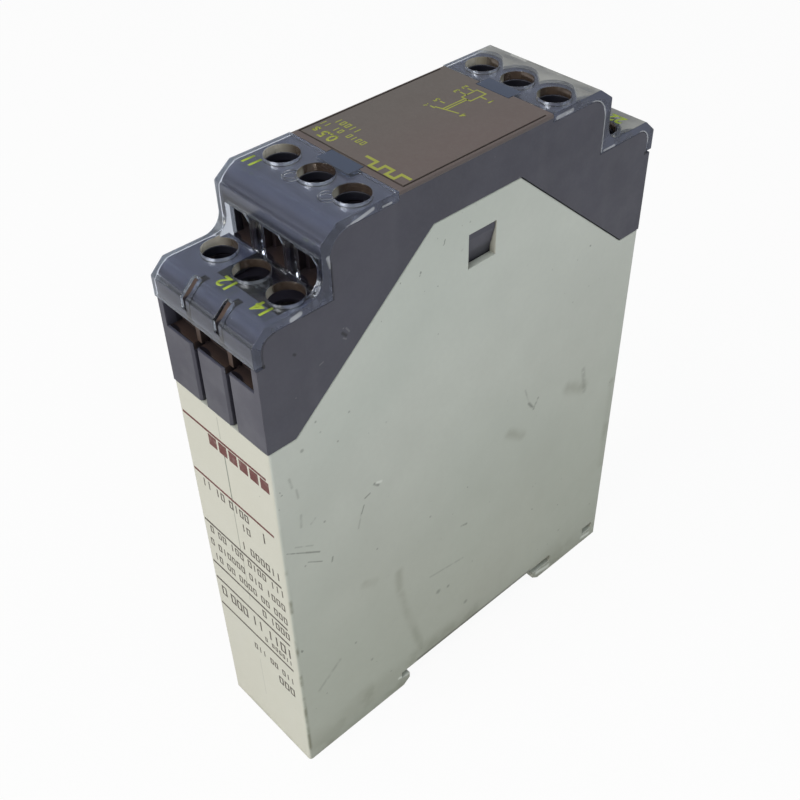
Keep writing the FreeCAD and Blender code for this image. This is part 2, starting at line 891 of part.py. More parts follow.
def latch_spring():
    """Folded leaf spring between the base's post and the latch's window."""
    start = post_front - spring_room + spring_seat_gap
    stop = post_front - spring_seat_gap
    step = (stop - start - spring_leaf) / spring_folds
    z0 = (latch_rail + latch_top - spring_height) / 2
    z1 = z0 + spring_height
    pieces = []
    for index in range(spring_folds + 1):
        y = start + index * step
        pieces.append(box(-spring_arm, spring_arm, y, y + spring_leaf, z0, z1))
    for index in range(spring_folds):
        y = start + (index + 0.5) * step + spring_leaf / 2
        side = 1 if index % 2 == 0 else -1
        ring = rod(side * spring_arm, y, z0, (step + spring_leaf) / 2, spring_height)
        ring = ring.cut(rod(side * spring_arm, y, z0, (step - spring_leaf) / 2, spring_height))
        outer_half = box(side * spring_arm, side * (spring_arm + step), y - step, y + step, z0, z1)
        pieces.append(ring.common(outer_half))
    return pieces[0].multiFuse(pieces[1:])


def relay_box(out0, out1, y0, y1, half):
    """A block of the relay: out from the board, along Y, and half its width along Z."""
    return box(board_face + out0, board_face + out1, relay_y + y0, relay_y + y1,
               relay_z - half, relay_z + half)


def relay_rod(out, y, radius, run):
    """A round piece of the relay lying along Y."""
    return rod(board_face + out, relay_y + y, relay_z, radius, run, "y")


def relay_housing():
    """The relay's base and its cap."""
    half_length = relay_length / 2
    half = relay_width / 2
    inside_length = half_length - relay_skin
    inside = half - relay_skin
    base_run = inside_length - side_gap
    base = relay_box(0.0, relay_base_height, -base_run, base_run, inside - side_gap)
    cap = relay_box(0.0, relay_height, -half_length, half_length, half)

    def outer_edge(span):
        return span.XMin > board_face + margin

    cap = cap.makeChamfer(relay_skin / 2, picked_edges(cap, outer_edge))
    cap = cap.cut(relay_box(-margin, relay_height - relay_skin, -inside_length, inside_length, inside))
    return (("relay_base", base), ("relay_cap", cap))


def relay_coil():
    """The relay's bobbin, winding, core and yoke."""
    core_stop = core_start + core_length
    tube_radius = core_radius + bobbin_tube
    flange = winding_radius + bobbin_rim
    first = core_start + bobbin_flange
    last = core_stop - bobbin_flange - side_gap
    bobbin = relay_rod(coil_axis, first, tube_radius, last + bobbin_flange - first)
    for y in (first, last):
        bobbin = bobbin.fuse(relay_box(coil_axis - flange, coil_axis + flange, y, y + bobbin_flange,
                                       flange))
    foot_start = core_stop - side_gap - bobbin_foot_length
    bobbin = bobbin.fuse(relay_box(relay_base_height, coil_axis - flange, foot_start, core_stop - side_gap,
                                   bobbin_foot_half))
    bobbin = bobbin.cut(relay_rod(coil_axis, core_start, core_radius + thread_gap, core_length + margin))
    winding_start = first + bobbin_flange
    winding = relay_rod(coil_axis, winding_start, winding_radius, last - winding_start)
    winding = winding.cut(relay_rod(coil_axis, core_start, tube_radius + thread_gap, core_length + margin))
    core = relay_rod(coil_axis, core_start, core_radius, core_length)
    yoke_low = coil_axis + winding_radius + yoke_gap
    yoke_high = yoke_low + yoke_thickness
    yoke_stop = core_stop + yoke_thickness
    yoke = relay_box(yoke_low, yoke_high, core_start - yoke_gap, yoke_stop, yoke_half_width)
    yoke = yoke.fuse(relay_box(relay_base_height, yoke_high, core_stop, yoke_stop, yoke_half_width))
    return (
        ("relay_bobbin", bobbin),
        ("relay_winding", winding),
        ("relay_core", core),
        ("relay_yoke", yoke),
    )


def relay_switch():
    """The relay's armature with its moving contact, between the resting and the working contact."""
    arm_front = core_start - pole_gap
    arm_back = arm_front - armature_thickness
    yoke_low = coil_axis + winding_radius + yoke_gap
    arm_low = contact_axis + contact_radius + pole_gap
    armature = relay_box(arm_low, yoke_low + yoke_thickness, arm_back, arm_front, armature_half_width)
    button_back = arm_back - contact_back
    button_front = arm_back + contact_front
    leaf = relay_box(contact_axis - contact_radius, yoke_low - yoke_thickness,
                     arm_back - leaf_thickness, arm_back, leaf_half_width)
    moving = leaf.fuse(relay_rod(contact_axis, button_back, contact_radius, button_front - button_back))

    rest_tip = button_back - contact_air
    resting = relay_rod(contact_axis, rest_tip - contact_tip, contact_radius, contact_tip)
    blade_top = contact_axis + contact_radius
    resting = resting.fuse(relay_box(relay_base_height, blade_top, rest_tip - contact_tip - contact_blade,
                                     rest_tip - contact_tip, contact_half_width))
    swing = math.radians(armature_swing) * (armature_pivot - contact_axis + contact_radius)
    work_tip = button_front + swing + contact_air
    working = relay_rod(contact_axis, work_tip, contact_radius, contact_tip)
    working = working.fuse(relay_box(relay_base_height, blade_top, work_tip + contact_tip,
                                     work_tip + contact_tip + contact_blade, contact_half_width))
    return (
        ("relay_armature", armature),
        ("moving_contact", moving),
        ("resting_contact", resting),
        ("working_contact", working),
    )


def standing_can(y, radius, tall):
    """A round can standing on the main board with a broken top rim."""
    can = rod(board_face, y, can_z, radius, tall, "x")

    def top_rim(span):
        return near(span.XMin, board_face + tall)

    return can.makeChamfer(component_bevel, picked_edges(can, top_rim))


def film_capacitor():
    """A boxed film capacitor with broken edges."""
    body = box(board_face, board_face + film_tall, film_y, film_y + film_length,
               film_z, film_z + film_width)

    def outer_edge(span):
        return span.XMin > board_face + margin or near(span.XLength, film_tall)

    return body.makeChamfer(component_bevel, picked_edges(body, outer_edge))


def disc_varistor():
    """A disc standing on two wire leads."""
    centre = board_face + varistor_lead + varistor_radius
    disc = rod(centre, varistor_y, varistor_z, varistor_radius, varistor_thickness, "y")
    middle = varistor_y + varistor_thickness / 2
    half_wire = lead_wire / 2
    for side in (-1, 1):
        place = varistor_z + side * varistor_radius / 2
        disc = disc.fuse(box(board_face, centre, middle - half_wire, middle + half_wire,
                             place - half_wire, place + half_wire))
    return disc


def dual_row_chip():
    """A dual-row chip lying on the main board, with its legs."""
    run = chip_pins * chip_pitch
    top = board_face + chip_tall
    leg_top = board_face + chip_tall / 2
    half = chip_width / 2
    chip = box(board_face + chip_leg, top, chip_y, chip_y + run, chip_z - half, chip_z + half)
    for index in range(chip_pins):
        place = chip_y + (index + 0.5) * chip_pitch
        for side in (-1, 1):
            edge = chip_z + side * half
            leg = box(board_face, leg_top, place - chip_leg, place + chip_leg, edge, edge + side * chip_leg)
            chip = chip.fuse(leg)
    return chip


def small_transistor():
    """A half-round transistor on three legs."""
    foot = board_face + transistor_legs
    radius = transistor_radius
    body = rod(foot, transistor_y, transistor_z, radius, transistor_tall, "x")
    flat = box(foot - margin, foot + transistor_tall + margin, transistor_y - radius, transistor_y + radius,
               transistor_z + radius / 2, transistor_z + radius)
    body = body.cut(flat)
    half_wire = lead_wire / 2
    for index in (-1, 0, 1):
        place = transistor_y + index * radius / 2
        body = body.fuse(box(board_face, foot, place - half_wire, place + half_wire,
                             transistor_z - half_wire, transistor_z + half_wire))
    return body


def flat_diode(y, z):
    """A moulded diode lying along Z, on a folded tab at each end."""
    half_across = diode_width / 2
    half_tab = diode_tab_width / 2
    half = diode_length / 2
    body = box(board_face + diode_tab_thickness, board_face + diode_tall, y - half_across, y + half_across,
               z - half, z + half)

    def top_edge(span):
        return span.XMin > board_face + margin

    body = body.makeChamfer(diode_bevel, picked_edges(body, top_edge))
    tabs = box(board_face, board_face + diode_tab_thickness, y - half_tab, y + half_tab,
               z - half - diode_tab, z + half + diode_tab)
    return body.fuse(tabs)


def flat_resistor(y, z):
    """A chip resistor lying along Z on the main board."""
    half_across = resistor_width / 2
    half = resistor_length / 2
    return box(board_face, board_face + resistor_tall, y - half_across, y + half_across, z - half, z + half)


def board_components():
    """Other parts on the main board, as (name, solid) pairs."""
    diodes = [flat_diode(diode_y + diode_pitch * index, diode_z) for index in range(diode_count)]
    resistors = [flat_resistor(resistor_y + resistor_pitch * index, resistor_z)
                 for index in range(resistor_count)]
    return (
        ("dropper_capacitor", film_capacitor()),
        ("smoothing_capacitor", standing_can(smoothing_y, smoothing_radius, smoothing_tall)),
        ("timing_capacitor", standing_can(timing_y, timing_radius, timing_tall)),
        ("varistor", disc_varistor()),
        ("control_chip", dual_row_chip()),
        ("transistor", small_transistor()),
        ("rectifier_diodes", Part.makeCompound(diodes)),
        ("resistors", Part.makeCompound(resistors)),
    )


def main():
    os.makedirs("parts", exist_ok=True)
    cover = terminal_cover()
    block = terminal_block()
    pieces = [
        ("base_housing", base_housing()),
        ("terminal_head", terminal_head()),
        ("faceplate", faceplate()),
        ("front_terminal_cover", cover),
        ("rear_terminal_cover", to_rear(cover)),
        ("front_terminal_block", block),
        ("rear_terminal_block", to_rear(block)),
        ("terminal_board", terminal_board()),
        ("main_board", main_board()),
        ("din_latch", din_latch()),
        ("latch_spring", latch_spring()),
    ]
    for name, x, y, tier_top in terminals:
        pieces.append(("clamp_box_" + name, clamp_box(x, y, tier_top)))
        pieces.append(("clamp_plate_" + name, clamp_plate(x, y, tier_top)))
        pieces.append(("clamp_screw_" + name, clamp_screw(x, y, tier_top)))
        pieces.append(("contact_strip_" + name, contact_strip(x, y, tier_top)))
    pieces.extend(relay_housing())
    pieces.extend(relay_coil())
    pieces.extend(relay_switch())
    pieces.extend(board_components())
    for name, shape in pieces:
        export(name, shape)


main()
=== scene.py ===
import json
import math
import random

import bmesh
import bpy
from mathutils import Matrix, Vector


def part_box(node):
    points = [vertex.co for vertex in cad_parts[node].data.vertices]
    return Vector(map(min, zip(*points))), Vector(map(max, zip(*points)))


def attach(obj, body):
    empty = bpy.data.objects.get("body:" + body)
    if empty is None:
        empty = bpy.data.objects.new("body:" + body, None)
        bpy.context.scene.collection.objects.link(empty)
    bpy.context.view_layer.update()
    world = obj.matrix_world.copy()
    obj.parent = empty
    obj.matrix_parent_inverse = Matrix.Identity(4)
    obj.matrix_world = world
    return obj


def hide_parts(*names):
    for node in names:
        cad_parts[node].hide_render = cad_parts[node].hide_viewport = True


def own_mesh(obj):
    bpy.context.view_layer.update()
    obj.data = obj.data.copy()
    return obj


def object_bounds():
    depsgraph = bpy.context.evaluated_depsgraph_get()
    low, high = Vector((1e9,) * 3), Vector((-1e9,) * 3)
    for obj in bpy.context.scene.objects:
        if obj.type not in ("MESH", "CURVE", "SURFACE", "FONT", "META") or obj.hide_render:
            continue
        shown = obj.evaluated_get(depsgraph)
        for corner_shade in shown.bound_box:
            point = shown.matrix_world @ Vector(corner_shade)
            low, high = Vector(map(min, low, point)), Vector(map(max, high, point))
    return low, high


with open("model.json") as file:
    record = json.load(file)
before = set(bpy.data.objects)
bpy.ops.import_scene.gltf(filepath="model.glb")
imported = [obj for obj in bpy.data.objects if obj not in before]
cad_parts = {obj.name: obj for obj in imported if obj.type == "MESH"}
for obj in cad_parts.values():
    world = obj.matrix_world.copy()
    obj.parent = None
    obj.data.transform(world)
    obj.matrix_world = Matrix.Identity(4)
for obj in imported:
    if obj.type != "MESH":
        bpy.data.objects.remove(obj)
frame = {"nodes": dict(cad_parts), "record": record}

cad_box = [list(corner_shade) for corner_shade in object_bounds()]
MM = 0.001

# Camera, fitted to the corners of the object in the photograph
camera_place = Vector((102.32, -97.13, 181.20)) * MM
camera_azimuth = 48.24
camera_elevation = 41.60
camera_roll = -1.55
camera_lens = 49.30
sensor_width = 36.0

# Places on the object, from the frame
base_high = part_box("base_housing")[1]
plate_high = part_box("faceplate")[1]
side_wall = base_high.x
end_wall = base_high.y
top = plate_high.z

# Places within the pieces, which the frame does not name
tier_drop = 9.7 * MM
lower_top = top - tier_drop
column_pitch = 7.3 * MM
upper_hole = 19.5 * MM
lower_hole = 31.45 * MM
hole_radius = 2.6 * MM
tongue_half = 3.3 * MM
tongue_stop = 16.7 * MM
cover_foot = 92.8 * MM
shoulder = 92.3 * MM
lip_run = 38.5 * MM
inside_half = 10.3 * MM
inside_run = 38.2 * MM
block_half = 9.8 * MM
groove_side = 10.6 * MM
groove_front = 13.6 * MM
groove_width = 0.2 * MM

# Inner line of the covers' side faces: rounds as y, z and radius, and the riser from (y, z) to (y, z)
inner_rounds = ((23.45 * MM, 103.2 * MM, 3.5 * MM), (36.5 * MM, 94.5 * MM, 2.5 * MM))
inner_riser = ((26.95 * MM, 103.2 * MM), (26.95 * MM, 97.4 * MM))

# Rings that the mould left on the front cover, as x and y
ring_marks = ((-2.1 * MM, -22.1 * MM), (5.3 * MM, -22.1 * MM))
ring_radius = 1.1 * MM
ring_width = 0.22 * MM

# Reach of looks over the object: where a tone starts, and where it is full
low_dark_rise = (95 * MM, 5 * MM)
foot_dark_rise = (10 * MM, 0.0)
plate_tone = (-10 * MM, 10 * MM)
# Where the painted shade down the block's shafts starts and is full
shaft_shade_rise = (80 * MM, 82 * MM)
# Where the painted reflection on the rear decks starts and is full
reflection_run = (upper_hole - 1.6 * MM, upper_hole + 0.4 * MM)
# Where the painted light on the left column's hole walls starts and is full
lit_left_column = (-3.6 * MM, -4.4 * MM)
face_skin = (0.10 * MM, 0.03 * MM)

# Round fields beside each screw hole, for the painted reflection on the rear decks and the painted shade
# in the block: shift in x and y, and the distances of their soft edge
reflection_shift = (-1.2 * MM, 1.1 * MM)
reflection_gap = (3.1 * MM, 3.35 * MM)
pool_shift = (-1.9 * MM, 1.7 * MM)
pool_gap = (3.1 * MM, 2.6 * MM)

# Directions across the deck, as the photograph sees a hole: to its far wall and to its left wall, which
# place the painted light and shade on the hole walls
far_wall = (-0.87, 0.50)
left_wall = (-0.67, -0.74)

# Optical values
plastic_ior = 1.46
acrylic_ior = 1.49
laminate_ior = 1.5
ink_ior = 1.45
clear_tint = (0.83, 0.88, 0.98, 1.0)
lamp_tint = (0.80, 0.82, 0.86, 1.0)

# Print, in millimetres apart from the ink's own thickness
ink_height = 0.02 * MM
ink_sink = 0.005 * MM
ink_steps = (0.65, 0.72, 0.79, 0.86, 0.93)
bold = 0.028
rule_width = 0.48
letter_share = 0.58
stem_share = 0.3
letter_gap = 0.32
word_gap = 0.9
word_letters = (2, 6)
print_seed = 7

# Terminal numbers on the covers: text, size, x, y
upper_labels = (("11", 3.0, -8.6, -23.5),)
lower_labels = (("12", 3.0, 0.2, -35.5), ("14", 3.0, 7.9, -35.6), ("22", 3.0, 7.2, 35.6))

# Rules and rows of blank print on the front end face: height, run across, letter height and stroke
brown_rules = (71.9, 59.9)
grey_rules = (48.1, 37.5, 33.3, 26.2)
rule_run = (-10.5, 9.8)
end_rows = (
    (58.3, -9.1, 3.3, 1.7, 0.26),
    (57.2, 5.2, 7.6, 2.2, 0.30),
    (55.2, 0.2, 3.2, 1.6, 0.24),
    (50.4, -0.7, 9.9, 1.7, 0.26),
    (46.6, -10.3, 10.3, 1.6, 0.24),
    (43.1, -10.4, 10.0, 1.6, 0.24),
    (39.7, -10.3, 10.1, 1.6, 0.24),
    (35.7, 2.5, 10.1, 1.7, 0.26),
    (30.6, -10.3, 10.1, 2.4, 0.34),
    (28.0, 1.8, 9.7, 1.1, 0.20),
    (22.4, -2.5, 9.5, 1.5, 0.24),
    (18.9, 3.6, 9.2, 2.1, 0.32),
)

# Row of blocks on the front end face: height, left end, width, height of a block, gap, count
block_row = (70.35, -4.2, 2.0, 2.2, 0.5, 6)

# Contact symbol on the faceplate, as x and y: coil, its leads and links, contacts, and numbers
symbol_stroke = 0.24
coil_box = ((-1.7, 12.6), (0.1, 12.6), (0.1, 9.4), (-1.7, 9.4))
symbol_lines = (
    ((-1.7, 12.0), (-2.9, 12.0)),
    ((-1.7, 10.4), (-2.9, 10.4)),
    ((0.1, 11.4), (1.3, 11.4)),
    ((-1.05, 9.4), (-1.05, 5.0)),
    ((-0.55, 9.4), (-0.55, 5.1)),
    ((1.5, 5.5), (-2.2, 4.6)),
    ((-2.2, 6.3), (-2.9, 6.3)),
    ((-2.2, 4.3), (-2.9, 4.3)),
)
symbol_numbers = (
    ("1", 2.3, 11.4),
    ("2", -3.7, 12.1),
    ("3", -3.7, 10.4),
    ("4", 2.4, 5.6),
    ("5", -3.7, 6.3),
    ("6", -3.7, 4.3),
)
symbol_number_size = 1.5

# Pulse symbol on the faceplate: its steps in x, and the two levels in y that it takes in turn
pulse_stroke = 0.5
pulse_steps = (10.0, 8.4, 6.8, 5.2, 3.6, 1.6)
pulse_levels = (-11.9, -13.3)

# Time and blank rows on the faceplate, in reading direction: run across, middle, letter height and stroke
time_label = ("0.5 s", 2.6, 7.4, 11.9)
plate_rows = ((1.2, 10.6, 9.9, 1.1, 0.18), (4.4, 10.2, 8.1, 1.2, 0.20))

# Lines on the +X wall of the base, in millimetres: start y and z, stop y and z, width
scratches = (
    (-39.1, 56.6, -35.7, 54.2, 0.20),
    (-35.7, 54.2, -33.2, 52.4, 0.30),
    (-35.5, 51.8, -32.9, 49.9, 0.20),
    (-31.0, 48.3, -30.8, 49.2, 0.30),
    (-22.6, 57.6, -23.6, 57.3, 0.30),
    (-23.9, 55.9, -24.5, 54.4, 0.24),
    (14.3, 53.4, 15.7, 51.3, 0.50),
    (15.7, 51.3, 16.7, 53.2, 0.40),
    (-21.6, 59.0, -20.8, 58.2, 0.45),
    (-1.9, 34.0, -0.6, 33.7, 0.42),
)
faint_scratches = (
    (-37.5, 56.8, -34.2, 54.7, 0.24),
    (-37.1, 71.0, -36.8, 69.1, 0.40),
    (-36.1, 68.2, -35.9, 66.3, 0.36),
    (-35.8, 62.6, -36.0, 60.2, 0.40),
    (-34.2, 59.5, -33.4, 60.1, 0.36),
    (-24.5, 54.6, -25.3, 51.6, 0.30),
    (13.1, 57.1, 14.3, 53.4, 0.34),
    (29.0, 52.5, 30.1, 46.7, 0.90),
    (-36.2, 18.4, -31.3, 22.4, 0.60),
    (-9.7, 26.4, -1.4, 24.9, 0.40),
)
smudges = (
    (-24.9, 37.3, -22.5, 36.0, 1.5),
    (-17.1, 34.0, -17.2, 29.0, 1.6),
    (-17.0, 28.0, -12.0, 7.3, 1.6),
    (25.1, 50.6, 29.4, 48.0, 2.4),
    (9.6, 49.3, 13.0, 46.6, 1.8),
    (38.6, 44.0, 38.8, 22.0, 1.6),
    (-30.0, 6.0, 2.0, 6.0, 4.0),
)
corner_dirt = ((-39.6, 62.0, -39.6, 2.0, 0.55),)
notch_shade = ((-13.0, 4.6, 18.5, 4.4, 0.7),)
slot_dirt = (
    (24.5, 3.6, 22.4, 3.8, 1.0),
    (37.8, 3.5, 35.8, 3.7, 1.0),
    (19.2, 2.6, 17.8, 3.4, 1.1),
)
bright_chips = (
    (-21.1, 58.9, -20.2, 58.6, 0.45),
    (21.2, 1.7, 24.6, 1.0, 0.9),
    (35.5, 1.5, 37.6, 1.1, 0.8),
    (-17.9, 3.3, -15.8, 2.6, 0.6),
)

# Round marks on the +X wall of the base, in millimetres: y, z, width
spots = (
    (-7.65, 20.5, 0.85),
    (-5.1, 19.9, 0.55),
    (-0.3, 11.1, 0.75),
    (-31.7, 58.1, 0.35),
    (-36.1, 51.4, 0.30),
    (-21.7, 43.8, 0.32),
    (-9.6, 42.4, 0.35),
    (-27.6, 23.8, 0.40),
    (-24.2, 15.6, 0.50),
    (-31.6, 78.5, 0.30),
    (-30.9, 76.1, 0.28),
    (-28.0, 72.4, 0.28),
    (-25.6, 76.6, 0.32),
    (-34.4, 74.8, 0.50),
)

# Lines on the +X side of the covers and the head, as on the base: painted bright streaks, painted shade
# along the covers' joint, and wear
cover_glints = (
    (-23.9, 106.55, -19.5, 107.4, 0.40),
    (-17.8, 106.95, -16.4, 106.95, 0.28),
    (-27.25, 103.6, -26.9, 102.1, 0.50),
    (-26.4, 101.7, -26.75, 97.1, 0.18),
    (-33.7, 97.35, -32.4, 97.6, 0.60),
    (15.8, 107.1, 19.0, 107.15, 0.50),
    (27.7, 97.3, 30.2, 97.25, 0.28),
)
cover_joint_shade = (
    (-26.78, 102.6, -26.78, 97.2, 0.24),
    (-26.78, 96.95, -32.0, 96.9, 0.24),
    (-36.5, 96.85, -37.7, 96.5, 0.20),
    (-37.7, 96.5, -38.5, 95.7, 0.20),
    (-38.5, 95.7, -38.8, 94.5, 0.20),
    (-38.8, 94.5, -38.8, 92.4, 0.20),
)
head_nicks = (
    (-25.8, 90.9, -25.2, 90.2, 0.45),
    (-34.0, 91.9, -33.8, 91.7, 0.40),
)
head_scars = (
    (-25.1, 91.4, -24.6, 90.6, 0.25),
    (-25.7, 90.0, -25.2, 89.6, 0.22),
    (-30.0, 87.8, -29.4, 88.0, 0.2),
)

# Line down the front end face, in millimetres: x, upper and lower z, width, strength
seam = (
    (-0.8, 76.7, 72.6, 0.18, 0.35),
    (-0.5, 70.8, 60.2, 0.22, 0.85),
    (-0.6, 59.6, 47.0, 0.18, 0.55),
    (-0.4, 46.4, 36.0, 0.16, 0.40),
    (-0.6, 19.0, 8.3, 0.18, 0.20),
)

# Studio, in metres and watts
floor_reach = 4.0
floor_pale = (0.82, 0.82, 0.82, 1.0)
floor_dim = (0.10, 0.10, 0.11, 1.0)
floor_glow = 0.935
floor_rough = 0.9
even_light = (0.95, 0.98, 1.0, 1.0)
even_strength = 0.35
pure_white = (1.0, 1.0, 1.0, 1.0)

# Lamps: name, direction from the object, distance, width, power, colour
lamps = (
    ("key", (-0.05, -0.85, 0.75), 0.9, 0.55, 4.4, (1.0, 0.985, 0.95)),
    ("fill", (0.90, -0.05, 0.75), 0.45, 0.35, 0.29, (0.90, 1.0, 0.99)),
    ("overhead", (0.10, 0.30, 1.00), 1.0, 0.8, 1.4, (1.0, 1.0, 1.0)),
)


def paint(red, green, blue):
    """Linear colour from the 0 to 255 values that a screen shows."""
    linear = []
    for value in (red, green, blue):
        share = value / 255
        linear.append(share / 12.92 if share <= 0.04045 else ((share + 0.055) / 1.055) ** 2.4)
    return (*linear, 1.0)


def shade(colour, factor):
    """A lighter or darker version of a linear colour."""
    return tuple(value * factor for value in colour[:3]) + (1.0,)


class Shader:
    """A Principled material whose patterns are read in the object's own metres."""

    sockets = {
        "colour": "Base Color",
        "roughness": "Roughness",
        "metal": "Metallic",
        "clear": "Transmission Weight",
        "gloss": "Specular IOR Level",
        "ior": "IOR",
    }

    def __init__(self, name, **looks):
        self.material = bpy.data.materials.new(name)
        self.material.use_nodes = True
        self.tree = self.material.node_tree
        self.surface = self.tree.nodes["Principled BSDF"]
        self.place = self.node("TexCoord").outputs["Object"]
        self.look(**looks)

    def node(self, kind, inputs=(), **settings):
        """A new node with its settings, and with its inputs set or linked."""
        made = self.tree.nodes.new("ShaderNode" + kind)
        for key, value in settings.items():
            setattr(made, key, value)
        for key, value in dict(inputs).items():
            self.feed(made.inputs[key], value)
        return made

    def feed(self, socket, value):
        """Link an output to a socket, or set a plain value there."""
        if isinstance(value, bpy.types.NodeSocket):
            self.tree.links.new(value, socket)
        else:
            socket.default_value = value

    def look(self, **looks):
        """Feed the surface's sockets by the short names above."""
        for key, value in looks.items():
            self.feed(self.surface.inputs[self.sockets[key]], value)

    def give_way(self, factor, other):
        """Show another shader in place of the surface, by a mask."""
        both = self.node("MixShader", {0: factor, 1: self.surface.outputs[0], 2: other.outputs[0]})
        self.feed(self.tree.nodes["Material Output"].inputs["Surface"], both.outputs[0])

    def noise(self, scale, detail=2.0, stretch=None):
        """Cloudy variation from 0 to 1, with features of about one over the scale."""
        place = self.place
        if stretch:
            place = self.node("Mapping", {"Vector": place, "Scale": stretch}).outputs[0]
        return self.node("TexNoise", {"Vector": place, "Scale": scale, "Detail": detail}).outputs["Fac"]

    def levels(self, value, low, high, to_low=0.0, to_high=1.0):
        """A smooth step from one range to another."""
        inputs = {"Value": value, "From Min": low, "From Max": high, "To Min": to_low, "To Max": to_high}
        return self.node("MapRange", inputs, interpolation_type="SMOOTHSTEP").outputs["Result"]

    def patches(self, scale, detail, low=0.0, high=1.0):
        """Soft patches between two values, with features of about one over the scale."""
        return self.levels(self.noise(scale, detail), 0.3, 0.7, low, high)

    def math(self, operation, first, second=0.0):
        """One operation on two values."""
        return self.node("Math", {0: first, 1: second}, operation=operation).outputs[0]

    def times(self, first, second):
        """Two values multiplied."""
        return self.math("MULTIPLY", first, second)

    def wrap(self, value, span):
        """A value brought to within half a span of zero by whole spans."""
        return self.node("Math", {0: value, 1: span / 2, 2: -span / 2}, operation="WRAP").outputs[0]

    def measure(self, operation, first, second=(0.0, 0.0, 0.0)):
        """One number from two vectors, such as their distance."""
        return self.node("VectorMath", {0: first, 1: second}, operation=operation).outputs["Value"]

    def mix(self, factor, first, second):
        """A blend of two colours."""
        return self.node("Mix", {0: factor, 6: first, 7: second}, data_type="RGBA").outputs[2]

    def cloudy(self, clean, scale, detail, dark, light):
        """A colour in soft patches between a darker and a lighter share of itself."""
        return self.mix(self.patches(scale, detail), shade(clean, dark), shade(clean, light))

    def axis(self, index):
        """One coordinate of the place."""
        return self.node("SeparateXYZ", {0: self.place}).outputs[index]

    def off_middle(self, index):
        """Distance from the object's middle plane along one axis."""
        return self.math("ABSOLUTE", self.axis(index))

    def facing(self, index):
        """How far a face looks along one axis, from 0 to 1."""
        normal = self.node("NewGeometry").outputs["Normal"]
        return self.math("ABSOLUTE", self.node("SeparateXYZ", {0: normal}).outputs[index])

    def near_line(self, start, stop, width):
        """1 on the line between two points, falling to 0 at the given distance from it."""
        run = Vector(stop) - Vector(start)
        offset = self.node("VectorMath", {0: self.place, 1: start}, operation="SUBTRACT").outputs["Vector"]
        along = self.measure("DOT_PRODUCT", offset, run / run.length_squared)
        share = self.node("Clamp", {"Value": along}).outputs[0]
        inputs = {0: tuple(run), "Scale": share}
        foot = self.node("VectorMath", inputs, operation="SCALE").outputs["Vector"]
        return self.levels(self.measure("DISTANCE", offset, foot), width, 0.0)

    def near_point(self, point, width):
        """1 at a point, falling to 0 at the given distance from it."""
        return self.levels(self.measure("DISTANCE", self.place, point), width, 0.25 * width)

    def strongest(self, masks):
        """The highest of several masks."""
        joined = masks[0]
        for mask in masks[1:]:
            joined = self.math("MAXIMUM", joined, mask)
        return joined

    def side_lines(self, marks):
        """Marks on the +X wall, each from (y, z) to (y, z) with a width, in millimetres."""
        masks = []
        for mark in marks:
            y0, z0, y1, z1, width = (value * MM for value in mark)
            masks.append(self.near_line((side_wall, y0, z0), (side_wall, y1, z1), width))
        return self.strongest(masks)

    def side_spots(self, marks):
        """Round marks on the +X wall, each at (y, z) with a width, in millimetres."""
        return self.strongest([self.near_point((side_wall, y * MM, z * MM), width * MM)
                               for y, z, width in marks])

    def hole_place(self, aside=0.0):
        """Place in X and Y from the nearest screw hole, or from a point beside it in X."""
        across = self.wrap(self.math("SUBTRACT", self.axis(0), aside), column_pitch)
        away = self.wrap(self.math("SUBTRACT", self.off_middle(1), upper_hole), lower_hole - upper_hole)
        along = self.times(away, self.math("SIGN", self.axis(1)))
        return self.node("CombineXYZ", {0: across, 1: along}).outputs[0]

    def hole_gap(self):
        """Distance across the deck to the axis of the nearest screw hole."""
        return self.measure("LENGTH", self.hole_place())

    def hole_beside(self, across, along):
        """Distance across the deck to a point beside the nearest screw hole."""
        return self.measure("DISTANCE", self.hole_place(across), (0.0, along, 0.0))

    def hole_side(self, direction):
        """Distance from the axis of the nearest screw hole in one direction across the deck."""
        return self.measure("DOT_PRODUCT", self.hole_place(), (*direction, 0.0))

    def in_hole(self, gap, strength=1.0):
        """Mask of what lies within the screw holes or lines them."""
        return self.levels(gap, hole_radius + 0.15 * MM, hole_radius + 0.05 * MM, 0.0, strength)

    def crevice(self, reach):
        """1 deep in corners and 0 in the open."""
        shadow = self.node("AmbientOcclusion", {"Distance": reach}, samples=6).outputs["AO"]
        return self.math("SUBTRACT", 1.0, shadow)

    def rounded(self, radius):
        """The normal of a surface whose edges are broken by a small round."""
        return self.node("Bevel", {"Radius": radius}, samples=4).outputs["Normal"]

    def edge(self, radius):
        """1 at sharp edges and 0 on flat faces."""
        flat = self.node("NewGeometry").outputs["True Normal"]
        return self.levels(self.measure("DOT_PRODUCT", self.rounded(radius), flat), 0.98, 0.75)

    def relief(self, height, depth, edge_round):
        """Bump from a height pattern, on edges that are broken by a small round."""
        inputs = {"Height": height, "Distance": depth, "Normal": self.rounded(edge_round)}
        self.feed(self.surface.inputs["Normal"], self.node("Bump", inputs).outputs["Normal"])


# Colours of the soil and wear on the base, which also colour its painted shade
grime_and_shade = paint(116, 114, 92)
olive = paint(98, 98, 66)
dark_soil_and_shade = paint(74, 75, 66)
bright_wear = paint(232, 234, 226)


